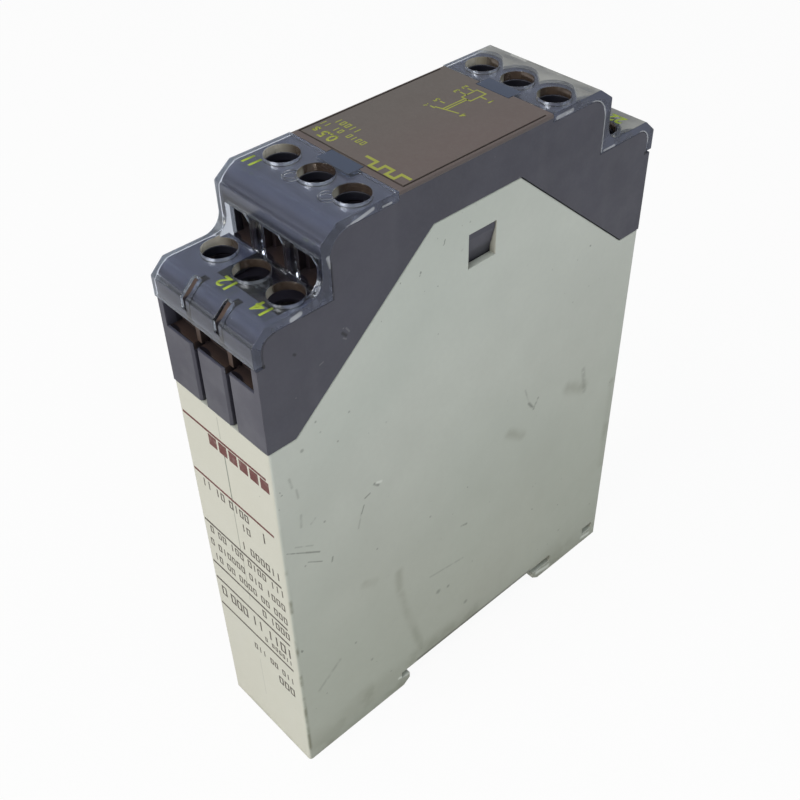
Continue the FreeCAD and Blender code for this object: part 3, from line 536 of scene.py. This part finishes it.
def base_soil_and_shade(shader, colour, beside):
    """Darker toward the foot, painted shade in corners and under the notch, dirt in smudges, down the
    corner edge and round the rail slots, and paler worn edges.
    """
    patchy = shader.levels(shader.noise(150, 5), 0.40, 0.66)
    # Darker toward the foot of the sides
    foot = shader.times(shader.levels(shader.axis(2), *foot_dark_rise, 0.0, 0.35), beside)
    # Painted shade in corners and crevices, from how closed in each point is
    corner_shade = shader.levels(shader.crevice(3 * MM), 0.25, 0.85, 0.0, 0.8)
    rim = shader.edge(0.35 * MM)
    soil_and_shade = shader.times(shader.math("MAXIMUM", foot, corner_shade), shader.math("SUBTRACT", 1.0, rim))
    soil_and_shade = shader.times(soil_and_shade, shader.levels(patchy, 0.0, 1.0, 0.35, 1.0))
    colour = shader.mix(soil_and_shade, colour, grime_and_shade)
    worn = shader.times(rim, shader.levels(patchy, 0.0, 1.0, 0.45, 0.1))
    colour = shader.mix(worn, colour, bright_wear)
    smudge = shader.times(shader.side_lines(smudges), shader.levels(patchy, 0.0, 1.0, 0.10, 0.30))
    colour = shader.mix(smudge, colour, grime_and_shade)
    rubbed = shader.times(shader.side_lines(corner_dirt), shader.levels(patchy, 0.35, 1.0, 0.05, 0.75))
    colour = shader.mix(rubbed, colour, grime_and_shade)
    packed = shader.times(shader.side_lines(slot_dirt), shader.levels(patchy, 0.0, 1.0, 0.55, 0.95))
    colour = shader.mix(packed, colour, olive)
    # Painted shade under the notch in the foot
    under = shader.times(shader.side_lines(notch_shade), 0.65)
    return shader.mix(under, colour, dark_soil_and_shade)


def base_marks(shader, colour, broken, scratch):
    """Scratches, spots, the line down the end face, specks and bright chips."""
    faint = shader.times(shader.side_lines(faint_scratches), shader.times(broken, 0.25))
    spot = shader.times(shader.side_spots(spots), shader.times(broken, 0.42))
    colour = shader.mix(shader.strongest([scratch, faint, spot]), colour, dark_soil_and_shade)
    lines = []
    for x, high, low, width, strength in seam:
        line = shader.near_line((x * MM, -end_wall, high * MM), (x * MM, -end_wall, low * MM), width * MM)
        lines.append(shader.times(line, strength))
    colour = shader.mix(shader.strongest(lines), colour, paint(70, 84, 70))
    speck = shader.levels(shader.noise(1100, 1), 0.765, 0.80)
    speck = shader.times(speck, shader.levels(shader.noise(60, 2), 0.50, 0.62, 0.0, 0.5))
    colour = shader.mix(speck, colour, dark_soil_and_shade)
    return shader.mix(shader.times(shader.side_lines(bright_chips), 0.8), colour, bright_wear)


def base_plastic():
    """Pale grey moulding, soiled and scratched from use, darker and yellower toward the bottom of its
    sides, with painted shade in its corners.
    """
    clean = paint(212, 215, 207)
    shader = Shader("base_plastic", ior=plastic_ior)
    cloud = shader.levels(shader.noise(38, 4), 0.32, 0.68)
    colour = shader.mix(cloud, shade(clean, 0.95), shade(clean, 1.03))
    tone = shader.levels(shader.noise(22, 2), 0.35, 0.65, 0.0, 0.22)
    colour = shader.mix(tone, colour, paint(190, 204, 194))
    fine = shader.levels(shader.noise(900, 2), 0.35, 0.65, 0.0, 0.10)
    colour = shader.mix(fine, colour, shade(clean, 0.86))
    beside = shader.levels(shader.facing(0), 0.5, 0.9)
    # Darker and yellower toward the bottom of the sides
    low = shader.levels(shader.axis(2), *low_dark_rise, 0.0, 0.42)
    colour = shader.mix(shader.times(low, beside), colour, shade(grime_and_shade, 1.5))
    at_end = shader.levels(shader.facing(1), 0.5, 0.9, 0.0, 0.8)
    colour = shader.mix(at_end, colour, paint(217, 214, 199))

    colour = base_soil_and_shade(shader, colour, beside)
    broken = shader.levels(shader.noise(900, 2), 0.30, 0.52, 0.25, 1.0)
    scratch = shader.times(shader.side_lines(scratches), shader.times(broken, 0.55))
    colour = base_marks(shader, colour, broken, scratch)
    shader.look(colour=colour, roughness=shader.patches(220, 4, 0.40, 0.54))
    height = shader.math("ADD", shader.noise(2600, 2), shader.times(scratch, -1.5))
    shader.relief(height, 0.010 * MM, 0.25 * MM)
    return shader.material


def lip_gap_shade(shader):
    """Mask of painted shade in the narrow gap between the head's shoulder and the lip of each cover."""
    above = shader.levels(shader.axis(2), shoulder - 0.08 * MM, shoulder - 0.02 * MM)
    below = shader.levels(shader.axis(2), cover_foot + 0.1 * MM, cover_foot)
    outside = shader.levels(shader.off_middle(1), lip_run, lip_run + 0.1 * MM, 0.0, 0.95)
    return shader.times(shader.times(above, below), outside)


def head_plastic():
    """Dark blue-grey satin moulding with paler rubbed edges, painted light on its upward faces, and
    painted shade in corners, along the covers' edges, inside its openings and down its screw holes.
    """
    clean = paint(75, 74, 86)
    dust = paint(132, 131, 138)
    shader = Shader("head_plastic", ior=plastic_ior)
    colour = shader.cloudy(clean, 70, 4, 0.90, 1.08)
    fine = shader.levels(shader.noise(1500, 2), 0.4, 0.7, 0.0, 0.16)
    colour = shader.mix(fine, colour, shade(clean, 1.35))
    streak = shader.levels(shader.noise(90, 3, (1.0, 1.0, 0.12)), 0.52, 0.70, 0.0, 0.10)
    speck = shader.levels(shader.noise(800, 1), 0.775, 0.80, 0.0, 0.5)
    worn = shader.times(shader.edge(0.3 * MM), shader.levels(shader.noise(300, 3), 0.4, 0.6, 0.05, 0.3))
    scar = shader.times(shader.side_lines(head_scars), 0.5)
    for mask in (streak, speck, worn, scar):
        colour = shader.mix(mask, colour, dust)
    # Painted shade along the covers' edges and in the gap under their lips, together with dark nicks
    joint_shade = shader.times(shader.side_lines(cover_joint_shade), 0.7)
    nick = shader.times(shader.side_lines(head_nicks), 0.8)
    colour = shader.mix(shader.strongest([joint_shade, nick, lip_gap_shade(shader)]), colour, shade(clean, 0.2))
    # Painted shade in corners and crevices
    corner_shade = shader.levels(shader.crevice(2 * MM), 0.35, 0.9, 0.0, 0.5)
    colour = shader.mix(corner_shade, colour, shade(clean, 0.35))
    # Painted light: upward faces made paler and bluer
    lit_deck = shader.levels(shader.facing(2), 0.6, 0.9, 0.0, 0.35)
    colour = shader.mix(lit_deck, colour, paint(100, 104, 122))
    # Painted shade on the upright faces inside the head
    inside_shade = shader.levels(shader.facing(2), 0.4, 0.1)
    for index, reach in ((0, inside_half), (1, inside_run)):
        inside_shade = shader.times(inside_shade, shader.levels(shader.off_middle(index), reach + 0.3 * MM, reach))
    colour = shader.mix(shader.times(inside_shade, 0.85), colour, shade(clean, 0.22))
    # Painted shade, near black, down the screw holes
    colour = shader.mix(shader.in_hole(shader.hole_gap(), 0.95), colour, paint(26, 26, 35))
    shader.look(colour=colour, roughness=shader.patches(260, 4, 0.36, 0.50))
    shader.relief(shader.noise(3000, 2), 0.008 * MM, 0.2 * MM)
    return shader.material


def plate_plastic():
    """Brown-grey satin faceplate with a pinker border and painted shade in its corners."""
    clean = paint(104, 97, 93)
    near_side = paint(106, 94, 91)
    border = paint(101, 90, 88)
    shader = Shader("plate_plastic", ior=plastic_ior)
    colour = shader.mix(shader.levels(shader.axis(0), *plate_tone), clean, near_side)
    colour = shader.mix(shader.patches(55, 3, 0.0, 0.12), colour, shade(clean, 0.75))
    fine = shader.levels(shader.noise(1800, 2), 0.4, 0.7, 0.0, 0.2)
    colour = shader.mix(fine, colour, shade(clean, 1.25))
    beside = shader.levels(shader.off_middle(0), groove_side, groove_side + groove_width)
    before = shader.levels(shader.axis(1), -groove_front, -groove_front - groove_width)
    colour = shader.mix(shader.math("MAXIMUM", beside, before), colour, border)
    # Painted shade in corners and grooves
    corner_shade = shader.levels(shader.crevice(0.8 * MM), 0.2, 0.7, 0.0, 0.3)
    colour = shader.mix(corner_shade, colour, shade(clean, 0.25))
    worn = shader.times(shader.edge(0.25 * MM), 0.2)
    colour = shader.mix(worn, colour, paint(150, 140, 132))
    shader.look(colour=colour, roughness=shader.patches(240, 4, 0.42, 0.55))
    shader.relief(shader.noise(3200, 2), 0.008 * MM, 0.15 * MM)
    return shader.material


def deck_reflection(shader, gap):
    """Mask of the painted reflection on the rear cover's decks, which stays clear of the screw holes."""
    reflection_mask = shader.levels(shader.axis(1), *reflection_run)
    scallop = shader.math("MINIMUM", gap, shader.hole_beside(*reflection_shift))
    reflection_mask = shader.times(reflection_mask, shader.levels(scallop, *reflection_gap))
    reflection_mask = shader.times(reflection_mask, shader.levels(shader.facing(2), 0.90, 0.97))
    return shader.times(reflection_mask, shader.patches(120, 4, 0.34, 0.60))


def shaded_rear_slopes(shader):
    """Mask of painted shade on the sloping faces of the rear cover, where their reflection is also taken
    down.
    """
    slope = shader.times(shader.levels(shader.facing(1), 0.30, 0.45),
                         shader.levels(shader.facing(1), 0.95, 0.85))
    return shader.times(slope, shader.levels(shader.axis(1), 0.0, 1.0 * MM, 0.0, 0.8))


def painted_hole_walls(shader, gap):
    """Mask and colour of painted light and shade on the walls of the screw holes: dark brown, with painted
    light toward the left.
    """
    lit_and_shaded_walls = shader.times(shader.in_hole(gap), shader.levels(shader.facing(2), 0.6, 0.3))
    lit_and_shaded_walls = shader.times(lit_and_shaded_walls, shader.levels(shader.hole_side(far_wall), -0.4 * MM, 0.6 * MM, 0.1, 0.6))
    left = shader.hole_side(left_wall)
    outer = shader.times(shader.levels(shader.axis(0), *lit_left_column),
                         shader.levels(left, -1.8 * MM, 0.8 * MM, 0.1, 0.85))
    wall_light = shader.math("MAXIMUM", outer, shader.levels(left, 1.7 * MM, 2.1 * MM))
    return lit_and_shaded_walls, shader.mix(wall_light, paint(84, 70, 60), paint(172, 164, 146))


def edge_glints(shader, side_face):
    """Mask of the bright lines and streaks in the thickness of the covers, on the +X side."""
    glints = [shader.near_line(*((side_wall, *place) for place in inner_riser), 0.3 * MM)]
    for y, z, radius in inner_rounds:
        away = shader.measure("DISTANCE", shader.place, (side_wall, y, z))
        off = shader.math("ABSOLUTE", shader.math("SUBTRACT", away, radius))
        part = shader.times(shader.levels(off, 0.25 * MM, 0.05 * MM),
                            shader.levels(shader.axis(1), y - 0.2 * MM, y + 0.6 * MM))
        glints.append(shader.times(part, shader.levels(shader.axis(2), z - 0.4 * MM, z + 0.2 * MM)))
    glints.append(shader.times(shader.side_lines(cover_glints), 0.75))
    return shader.times(shader.times(shader.strongest(glints), side_face), 0.85)


def mould_rings(shader):
    """Height of the small rings that the mould left."""
    flat = shader.node("CombineXYZ", {0: shader.axis(0), 1: shader.axis(1)}).outputs[0]
    rings = []
    for place in ring_marks:
        away = shader.measure("DISTANCE", flat, (*place, 0.0))
        off = shader.math("ABSOLUTE", shader.math("SUBTRACT", away, ring_radius))
        rings.append(shader.levels(off, ring_width, 0.0, 0.0, 6.0))
    return shader.strongest(rings)


def clear_plastic():
    """Slightly smoky clear moulding that lets the lamps through, with a painted reflection on its rear
    decks and painted light, shade and glints at its faces and holes.
    """
    shader = Shader("clear_plastic", ior=acrylic_ior)
    gap = shader.hole_gap()
    start, full = face_skin
    side_face = shader.levels(shader.axis(0), side_wall - start, side_wall - full)
    # Painted light: the -X side faces made pale
    cheek_light = shader.levels(shader.axis(0), start - side_wall, full - side_wall, 0.0, 0.5)
    # Rough +X side faces and rear slopes, with painted shade: dark blue in place of the clear view through
    # them
    side_frost_and_shade = shader.times(side_face, shader.levels(shader.noise(210, 3), 0.40, 0.62, 0.85, 0.45))
    rear_slope_shade = shaded_rear_slopes(shader)
    frost_and_shade = shader.math("MAXIMUM", side_frost_and_shade, rear_slope_shade)
    lit_and_shaded_walls, wall_light_and_shade = painted_hole_walls(shader, gap)
    # Painted shade: the tongues made dark blue
    tongue_shade = shader.times(
        shader.levels(shader.off_middle(0), tongue_half + 0.1 * MM, tongue_half - 0.1 * MM),
        shader.levels(shader.off_middle(1), tongue_stop + 0.2 * MM, tongue_stop, 0.0, 0.8),
    )
    # Painted reflection, light, shade and glints over the clear tint, each dulling the clearness where it
    # lies
    layers = (
        (deck_reflection(shader, gap), paint(192, 192, 188)),
        (cheek_light, paint(236, 240, 248)),
        (frost_and_shade, paint(84, 89, 112)),
        (lit_and_shaded_walls, wall_light_and_shade),
        (tongue_shade, paint(74, 84, 106)),
        (edge_glints(shader, side_face), paint(190, 192, 200)),
    )
    colour = clear_tint
    for mask, layer in layers:
        colour = shader.mix(shader.levels(mask, 0.0, 0.4), colour, layer)
    dull = shader.strongest([mask for mask, layer in layers])
    rough = shader.levels(shader.noise(160, 4), 0.35, 0.7, 0.05, 0.13)
    rough = shader.math("ADD", rough, shader.times(shader.math("MAXIMUM", frost_and_shade, lit_and_shaded_walls), 0.3))
    shader.look(colour=colour, clear=shader.math("SUBTRACT", 1.0, dull), roughness=rough,
                gloss=shader.levels(rear_slope_shade, 0.0, 0.8, 0.5, 0.05))
    shader.relief(shader.math("ADD", shader.noise(140, 2), mould_rings(shader)), 0.015 * MM, 0.2 * MM)
    through = shader.node("BsdfTransparent", {"Color": lamp_tint})
    shader.give_way(shader.node("LightPath").outputs["Is Shadow Ray"], through)
    return shader.material


def block_plastic():
    """Brown moulding with painted shade, black down its screw shafts and chambers."""
    clean = paint(80, 63, 54)
    shader = Shader("block_plastic", ior=plastic_ior)
    colour = shader.cloudy(clean, 110, 4, 0.82, 1.12)
    # Painted shade deep in crevices, down the screw shafts and in pools beside them
    deep_shade = shader.levels(shader.crevice(7 * MM), 0.35, 0.9, 0.0, 0.85)
    shaft = shader.levels(shader.hole_gap(), hole_radius + 1.5 * MM, hole_radius + 0.7 * MM, 0.0, 0.95)
    pool_shade = shader.levels(shader.hole_beside(*pool_shift), *pool_gap, 0.0, 0.95)
    within = shader.levels(shader.off_middle(0), block_half + 0.1 * MM, block_half)
    within = shader.times(within, shader.levels(shader.axis(2), *shaft_shade_rise))
    unlit = shader.math("MAXIMUM", deep_shade, shader.times(shader.math("MAXIMUM", shaft, pool_shade), within))
    colour = shader.mix(unlit, colour, paint(22, 22, 30))
    shader.look(colour=colour, roughness=shader.patches(300, 3, 0.40, 0.54),
                gloss=shader.levels(unlit, 0.5, 0.95, 0.5, 0.05))
    shader.relief(shader.noise(2400, 2), 0.010 * MM, 0.15 * MM)
    return shader.material


def moulded(name, clean, low_rough, high_rough, clear=0.0):
    """A plain moulding, solid or partly clear, with cloudy colour, fine grain and painted shade in
    corners.
    """
    shader = Shader(name, ior=plastic_ior, clear=clear)
    colour = shader.cloudy(clean, 110, 4, 0.82, 1.12)
    corner_shade = shader.levels(shader.crevice(2 * MM), 0.3, 0.9, 0.0, 0.6)
    colour = shader.mix(corner_shade, colour, shade(clean, 0.3))
    shader.look(colour=colour, roughness=shader.patches(300, 3, low_rough, high_rough))
    shader.relief(shader.noise(2400, 2), 0.010 * MM, 0.15 * MM)
    return shader.material


def metal(name, clean, low_rough, high_rough, stretch, reach=1.5 * MM, depth=0.5):
    """Plated or bare metal with drawn streaks and dull patches, and painted shade in corners."""
    shader = Shader(name, metal=1.0)
    colour = shader.cloudy(clean, 260, 4, 0.72, 1.10)
    corner_shade = shader.levels(shader.crevice(reach), 0.3, 0.9, 0.0, depth)
    colour = shader.mix(corner_shade, colour, shade(clean, 0.25))
    drawn = shader.noise(1500, 3, stretch)
    shader.look(colour=colour, roughness=shader.levels(drawn, 0.3, 0.7, low_rough, high_rough))
    shader.relief(drawn, 0.006 * MM, 0.12 * MM)
    return shader.material


def winding_wire():
    """Enamelled copper wire laid in turns, with painted shade between them."""
    clean = paint(176, 92, 48)
    shader = Shader("copper_wire", metal=0.8)
    inputs = {"Vector": shader.place, "Scale": 950.0, "Distortion": 0.4}
    turns = shader.node("TexWave", inputs, bands_direction="Y").outputs["Fac"]
    # Painted shade in the grooves between the turns
    colour = shader.mix(turns, shade(clean, 0.45), clean)
    shader.look(colour=colour, roughness=shader.levels(turns, 0, 1, 0.5, 0.3))
    shader.relief(turns, 0.05 * MM, 0.05 * MM)
    return shader.material


def board_laminate():
    """Brown paper board with a faint weave."""
    clean = paint(170, 144, 102)
    shader = Shader("board_laminate", ior=laminate_ior)
    inputs = {"Vector": shader.place, "Scale": 420.0}
    warp, weft = (shader.node("TexWave", inputs, bands_direction=along).outputs["Fac"] for along in "YZ")
    weave = shader.times(warp, weft)
    colour = shader.cloudy(clean, 90, 3, 0.85, 1.1)
    colour = shader.mix(shader.times(weave, 0.25), colour, paint(138, 110, 74))
    shader.look(colour=colour, roughness=shader.levels(weave, 0, 1, 0.35, 0.5))
    shader.relief(weave, 0.01 * MM, 0.1 * MM)
    return shader.material


def ink(name, clean, bare, wear):
    """Printed ink, thin and broken in places."""
    shader = Shader(name, ior=ink_ior)
    thin = shader.levels(shader.noise(700, 4), 0.52, 0.74, 0.0, wear)
    colour = shader.mix(thin, clean, bare)
    colour = shader.mix(shader.patches(180, 2, 0.0, 0.3), colour, shade(clean, 0.75))
    shader.look(colour=colour, roughness=shader.patches(400, 3, 0.45, 0.6))
    return shader.material


# Plain mouldings: colour, least and greatest roughness, and how clear where it is not solid
mouldings = {
    "latch_plastic": (paint(58, 58, 62), 0.40, 0.55),
    "relay_plastic": (paint(206, 202, 194), 0.10, 0.22, 0.7),
    "bobbin_plastic": (paint(214, 206, 188), 0.40, 0.52),
    "capacitor_plastic": (paint(89, 124, 173), 0.34, 0.46),
    "can_sleeve": (paint(40, 52, 92), 0.30, 0.42),
    "varistor_coat": (paint(74, 112, 164), 0.36, 0.50),
    "chip_plastic": (paint(38, 38, 40), 0.42, 0.56),
    "resistor_coat": (paint(203, 184, 153), 0.36, 0.50),
}

# Metals: colour, least and greatest roughness, stretch of the streaks, reach and depth of painted corner
# shade
lengthwise = (1.0, 0.08, 1.0)
round_about = (1.0, 1.0, 0.15)
metals = {
    "spring_steel": (paint(190, 190, 188), 0.22, 0.38, lengthwise),
    "soft_iron": (paint(168, 166, 160), 0.34, 0.50, lengthwise),
    "contact_brass": (paint(198, 170, 104), 0.26, 0.42, lengthwise),
    "clamp_steel": (paint(176, 174, 166), 0.28, 0.46, lengthwise),
    # The screw steel is painted dark, with deep-reaching corner shade, as painted shade down the screw
    # shafts
    "screw_steel": (paint(50, 47, 45), 0.34, 0.50, round_about, 6 * MM, 1.0),
}

finishes = {
    "base_plastic": base_plastic(),
    "head_plastic": head_plastic(),
    "plate_plastic": plate_plastic(),
    "clear_plastic": clear_plastic(),
    "block_plastic": block_plastic(),
    "board_laminate": board_laminate(),
    "copper_wire": winding_wire(),
}
for slot_name, looks in mouldings.items():
    finishes[slot_name] = moulded(slot_name, *looks)
for slot_name, looks in metals.items():
    finishes[slot_name] = metal(slot_name, *looks)
for part in frame["record"]["subparts"]:
    mesh = frame["nodes"][part["node"]].data
    mesh.materials.clear()
    mesh.materials.append(finishes[part["material_slot"]])

lime_ink = ink("lime_ink", paint(168, 188, 64), paint(110, 112, 84), 0.2)
yellow_ink = ink("yellow_ink", paint(160, 164, 74), paint(120, 114, 84), 0.25)
dark_ink = ink("dark_ink", paint(88, 80, 72), paint(180, 178, 168), 0.45)
red_ink = ink("red_ink", paint(112, 60, 56), paint(180, 172, 162), 0.35)


def add_object(name, content):
    """A new object in the scene, with a mesh, lamp, camera or text as its content."""
    made = bpy.data.objects.new(name, content)
    bpy.context.scene.collection.objects.link(made)
    return made


def face_frame(origin, right, upward):
    """The frame of a printed face: its reading direction, its upward direction and outward."""
    right = Vector(right)
    upward = Vector(upward)
    outward = right.cross(upward)
    directions = Matrix((right, upward, outward)).transposed().to_4x4()
    return Matrix.Translation(origin) @ directions


def stroke(start, stop, width):
    """A straight line of ink with square ends, as a four-sided outline."""
    start, stop = Vector(start), Vector(stop)
    run = (stop - start).normalized() * width / 2
    aside = Vector((-run.y, run.x))
    return [start - run - aside, stop + run - aside, stop + run + aside, start - run + aside]


def bar(left, right, middle, height):
    """An upright rectangle of ink about a level line."""
    low, high = middle - height / 2, middle + height / 2
    return [Vector((left, low)), Vector((right, low)), Vector((right, high)), Vector((left, high))]


def loop(points, width):
    """A closed line of ink through several points."""
    return [stroke(points[index - 1], points[index], width) for index in range(len(points))]


def blank_row(left, right, middle, height, width, draw):
    """A row of small open boxes and stems in groups, in place of a line of print."""
    shapes = []
    across = letter_share * height
    low = middle - height / 2 + width / 2
    high = middle + height / 2 - width / 2
    place = left
    while place + across <= right:
        for _ in range(draw.randint(*word_letters)):
            if place + across > right:
                break
            near, far = place + width / 2, place + across - width / 2
            if draw.random() < stem_share:
                centre = (near + far) / 2
                shapes.append(stroke((centre, low), (centre, high), width))
            else:
                shapes += loop([(near, low), (far, low), (far, high), (near, high)], width)
            place += across + letter_gap
        place += word_gap
    return shapes


def numeral(text, size):
    """The flat mesh of a plain number, centred on its place, in millimetres."""
    curve = bpy.data.curves.new("numeral", "FONT")
    curve.body = text
    curve.size = size
    curve.align_x = "CENTER"
    curve.align_y = "CENTER"
    curve.offset = bold * size
    holder = add_object("numeral", curve)
    seen = holder.evaluated_get(bpy.context.evaluated_depsgraph_get())
    made = bpy.data.meshes.new_from_object(seen)
    bpy.data.objects.remove(holder)
    return made


def prism(form, outline, high):
    """One flat shape of ink, sunk a little into its face."""
    low = -ink_sink / MM
    rings = [[form.verts.new((point[0], point[1], level)) for point in outline] for level in (low, high)]
    form.faces.new(reversed(rings[0]))
    form.faces.new(rings[1])
    for index in range(len(outline)):
        form.faces.new((rings[0][index - 1], rings[0][index], rings[1][index], rings[1][index - 1]))


def raised_numbers(form, numbers):
    """Numbers of ink, each a text, size and place, sunk a little into their face."""
    for text, size, across, up in numbers:
        letters = numeral(text, size)
        letters.transform(Matrix.Translation((across, up, 0.0)))
        form.from_mesh(letters)
        bpy.data.meshes.remove(letters)
    bmesh.ops.recalc_face_normals(form, faces=form.faces)
    for flat in form.faces:
        if flat.normal.z < 0:
            flat.normal_flip()
    lifted = bmesh.ops.extrude_face_region(form, geom=list(form.faces), use_keep_orig=True)
    tops = [item for item in lifted["geom"] if isinstance(item, bmesh.types.BMVert)]
    bmesh.ops.translate(form, verts=tops, vec=(0.0, 0.0, (ink_height + ink_sink) / MM))
    bmesh.ops.translate(form, verts=form.verts, vec=(0.0, 0.0, -ink_sink / MM))


def print_piece(name, face, shapes, numbers, material):
    """One piece of thin raised ink on a face, from outlines and numbers in millimetres."""
    form = bmesh.new()
    raised_numbers(form, numbers)
    for index, shape in enumerate(shapes):
        prism(form, shape, ink_height / MM * ink_steps[index % len(ink_steps)])
    bmesh.ops.recalc_face_normals(form, faces=form.faces)
    made = bpy.data.meshes.new(name)
    form.to_mesh(made)
    form.free()
    made.transform(face @ Matrix.Scale(MM, 4))
    made.materials.append(material)
    piece = add_object(name, made)
    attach(piece, "housing")


def from_rear(points):
    """Places in x and y, as they read on a face whose print is upright from the rear."""
    return [(-point[0], -point[1]) for point in points]


def end_print():
    """Rules, blank rows and a row of blocks on the front end face, which read upside down."""
    draw = random.Random(print_seed)
    face = face_frame((0.0, -end_wall, 0.0), (-1, 0, 0), (0, 0, -1))
    shapes = [bar(-rule_run[1], -rule_run[0], -height, rule_width) for height in grey_rules]
    for height, left, right, tall, width in end_rows:
        shapes += blank_row(-right, -left, -height, tall, width, draw)
    print_piece("end_print", face, shapes, (), dark_ink)
    height, left, across, tall, gap, count = block_row
    starts = [left + index * (across + gap) for index in range(count)]
    blocks = [bar(-start - across, -start, -height, tall) for start in starts]
    blocks += [bar(-rule_run[1], -rule_run[0], -height, rule_width) for height in brown_rules]
    print_piece("end_blocks", face, blocks, (), red_ink)


def plate_print():
    """Contact symbol, pulse symbol, numbers and blank rows on the faceplate."""
    draw = random.Random(print_seed)
    face = face_frame((0.0, 0.0, top), (-1, 0, 0), (0, -1, 0))
    shapes = loop(from_rear(coil_box), symbol_stroke)
    shapes += [stroke(*from_rear(line), symbol_stroke) for line in symbol_lines]
    pulse = []
    for index, (start, stop) in enumerate(zip(pulse_steps, pulse_steps[1:])):
        level = pulse_levels[index % 2]
        pulse += from_rear([(start, level), (stop, level)])
    shapes += [stroke(start, stop, pulse_stroke) for start, stop in zip(pulse, pulse[1:])]
    for row in plate_rows:
        shapes += blank_row(*row, draw)
    numbers = [time_label]
    numbers += [(text, symbol_number_size, -x, -y) for text, x, y in symbol_numbers]
    print_piece("plate_print", face, shapes, numbers, yellow_ink)


def cover_print():
    """Terminal numbers on the two tiers of the covers."""
    tiers = (("upper_numbers", top, upper_labels), ("lower_numbers", lower_top, lower_labels))
    for name, height, labels in tiers:
        face = face_frame((0.0, 0.0, height), (-1, 0, 0), (0, -1, 0))
        numbers = [(text, size, -x, -y) for text, size, x, y in labels]
        print_piece(name, face, (), numbers, lime_ink)


def latch_spring():
    """The folded leaf again, as a piece of its own on the housing in place of the original."""
    leaf = add_object("latch_spring_leaf", frame["nodes"]["latch_spring"].data.copy())
    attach(leaf, "housing")
    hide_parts("latch_spring")
    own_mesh(leaf)


def studio_floor():
    """A wide pale floor that looks white and keeps a soft shadow.

    It glows only for what the camera sees, also straight through the clear covers, and is dim to
    light that comes back through them after a reflection.
    """
    made = bpy.data.meshes.new("floor")
    signs = ((-1, -1), (1, -1), (1, 1), (-1, 1))
    corners = [(across * floor_reach, along * floor_reach, 0.0) for across, along in signs]
    made.from_pydata(corners, [], [(0, 1, 2, 3)])
    floor = add_object("floor", made)
    shader = Shader("floor", roughness=floor_rough)
    ray = shader.node("LightPath").outputs
    through = ray["Is Transmission Ray"]
    turned_back = shader.times(through, shader.math("GREATER_THAN", ray["Glossy Depth"], 0.5))
    shader.look(colour=shader.mix(turned_back, floor_pale, floor_dim))
    straight = shader.math("SUBTRACT", through, turned_back)
    looked_at = shader.math("MAXIMUM", ray["Is Camera Ray"], straight)
    glow = shader.node("Emission", {"Color": pure_white, "Strength": 1.0})
    shader.give_way(shader.times(looked_at, floor_glow), glow)
    made.materials.append(shader.material)


def studio_world():
    """Even light from all round, seen as white by the camera."""
    world = bpy.data.worlds.new("studio")
    bpy.context.scene.world = world
    world.use_nodes = True
    tree = world.node_tree
    even = tree.nodes["Background"]
    white = tree.nodes.new("ShaderNodeBackground")
    for light, colour, strength in ((even, even_light, even_strength), (white, pure_white, 1.0)):
        light.inputs["Color"].default_value = colour
        light.inputs["Strength"].default_value = strength
    seen = tree.nodes.new("ShaderNodeLightPath")
    both = tree.nodes.new("ShaderNodeMixShader")
    tree.links.new(seen.outputs["Is Camera Ray"], both.inputs[0])
    tree.links.new(even.outputs[0], both.inputs[1])
    tree.links.new(white.outputs[0], both.inputs[2])
    tree.links.new(both.outputs[0], tree.nodes["World Output"].inputs["Surface"])


def soft_lamp(name, direction, distance, width, power, colour):
    """A square area lamp that faces the middle of the object."""
    middle = (Vector(cad_box[0]) + Vector(cad_box[1])) / 2
    lamp = bpy.data.lights.new(name, "AREA")
    lamp.size = width
    lamp.energy = power
    lamp.color = colour
    holder = add_object(name, lamp)
    outward = Vector(direction).normalized()
    holder.location = middle + outward * distance
    holder.rotation_euler = outward.to_track_quat("Z", "Y").to_euler()


def photo_camera():
    """The camera at the photograph's viewing angle."""
    lens = bpy.data.cameras.new("camera")
    lens.lens = camera_lens
    lens.sensor_width = sensor_width
    holder = add_object("camera", lens)
    turn = Matrix.Rotation(math.radians(camera_azimuth), 4, "Z")
    tilt = Matrix.Rotation(math.radians(90 - camera_elevation), 4, "X")
    roll = Matrix.Rotation(math.radians(camera_roll), 4, "Z")
    holder.matrix_world = Matrix.Translation(camera_place) @ turn @ tilt @ roll
    bpy.context.scene.camera = holder


end_print()
plate_print()
cover_print()
latch_spring()
studio_floor()
studio_world()
for lamp_looks in lamps:
    soft_lamp(*lamp_looks)
photo_camera()
bpy.context.scene.view_settings.view_transform = "Standard"
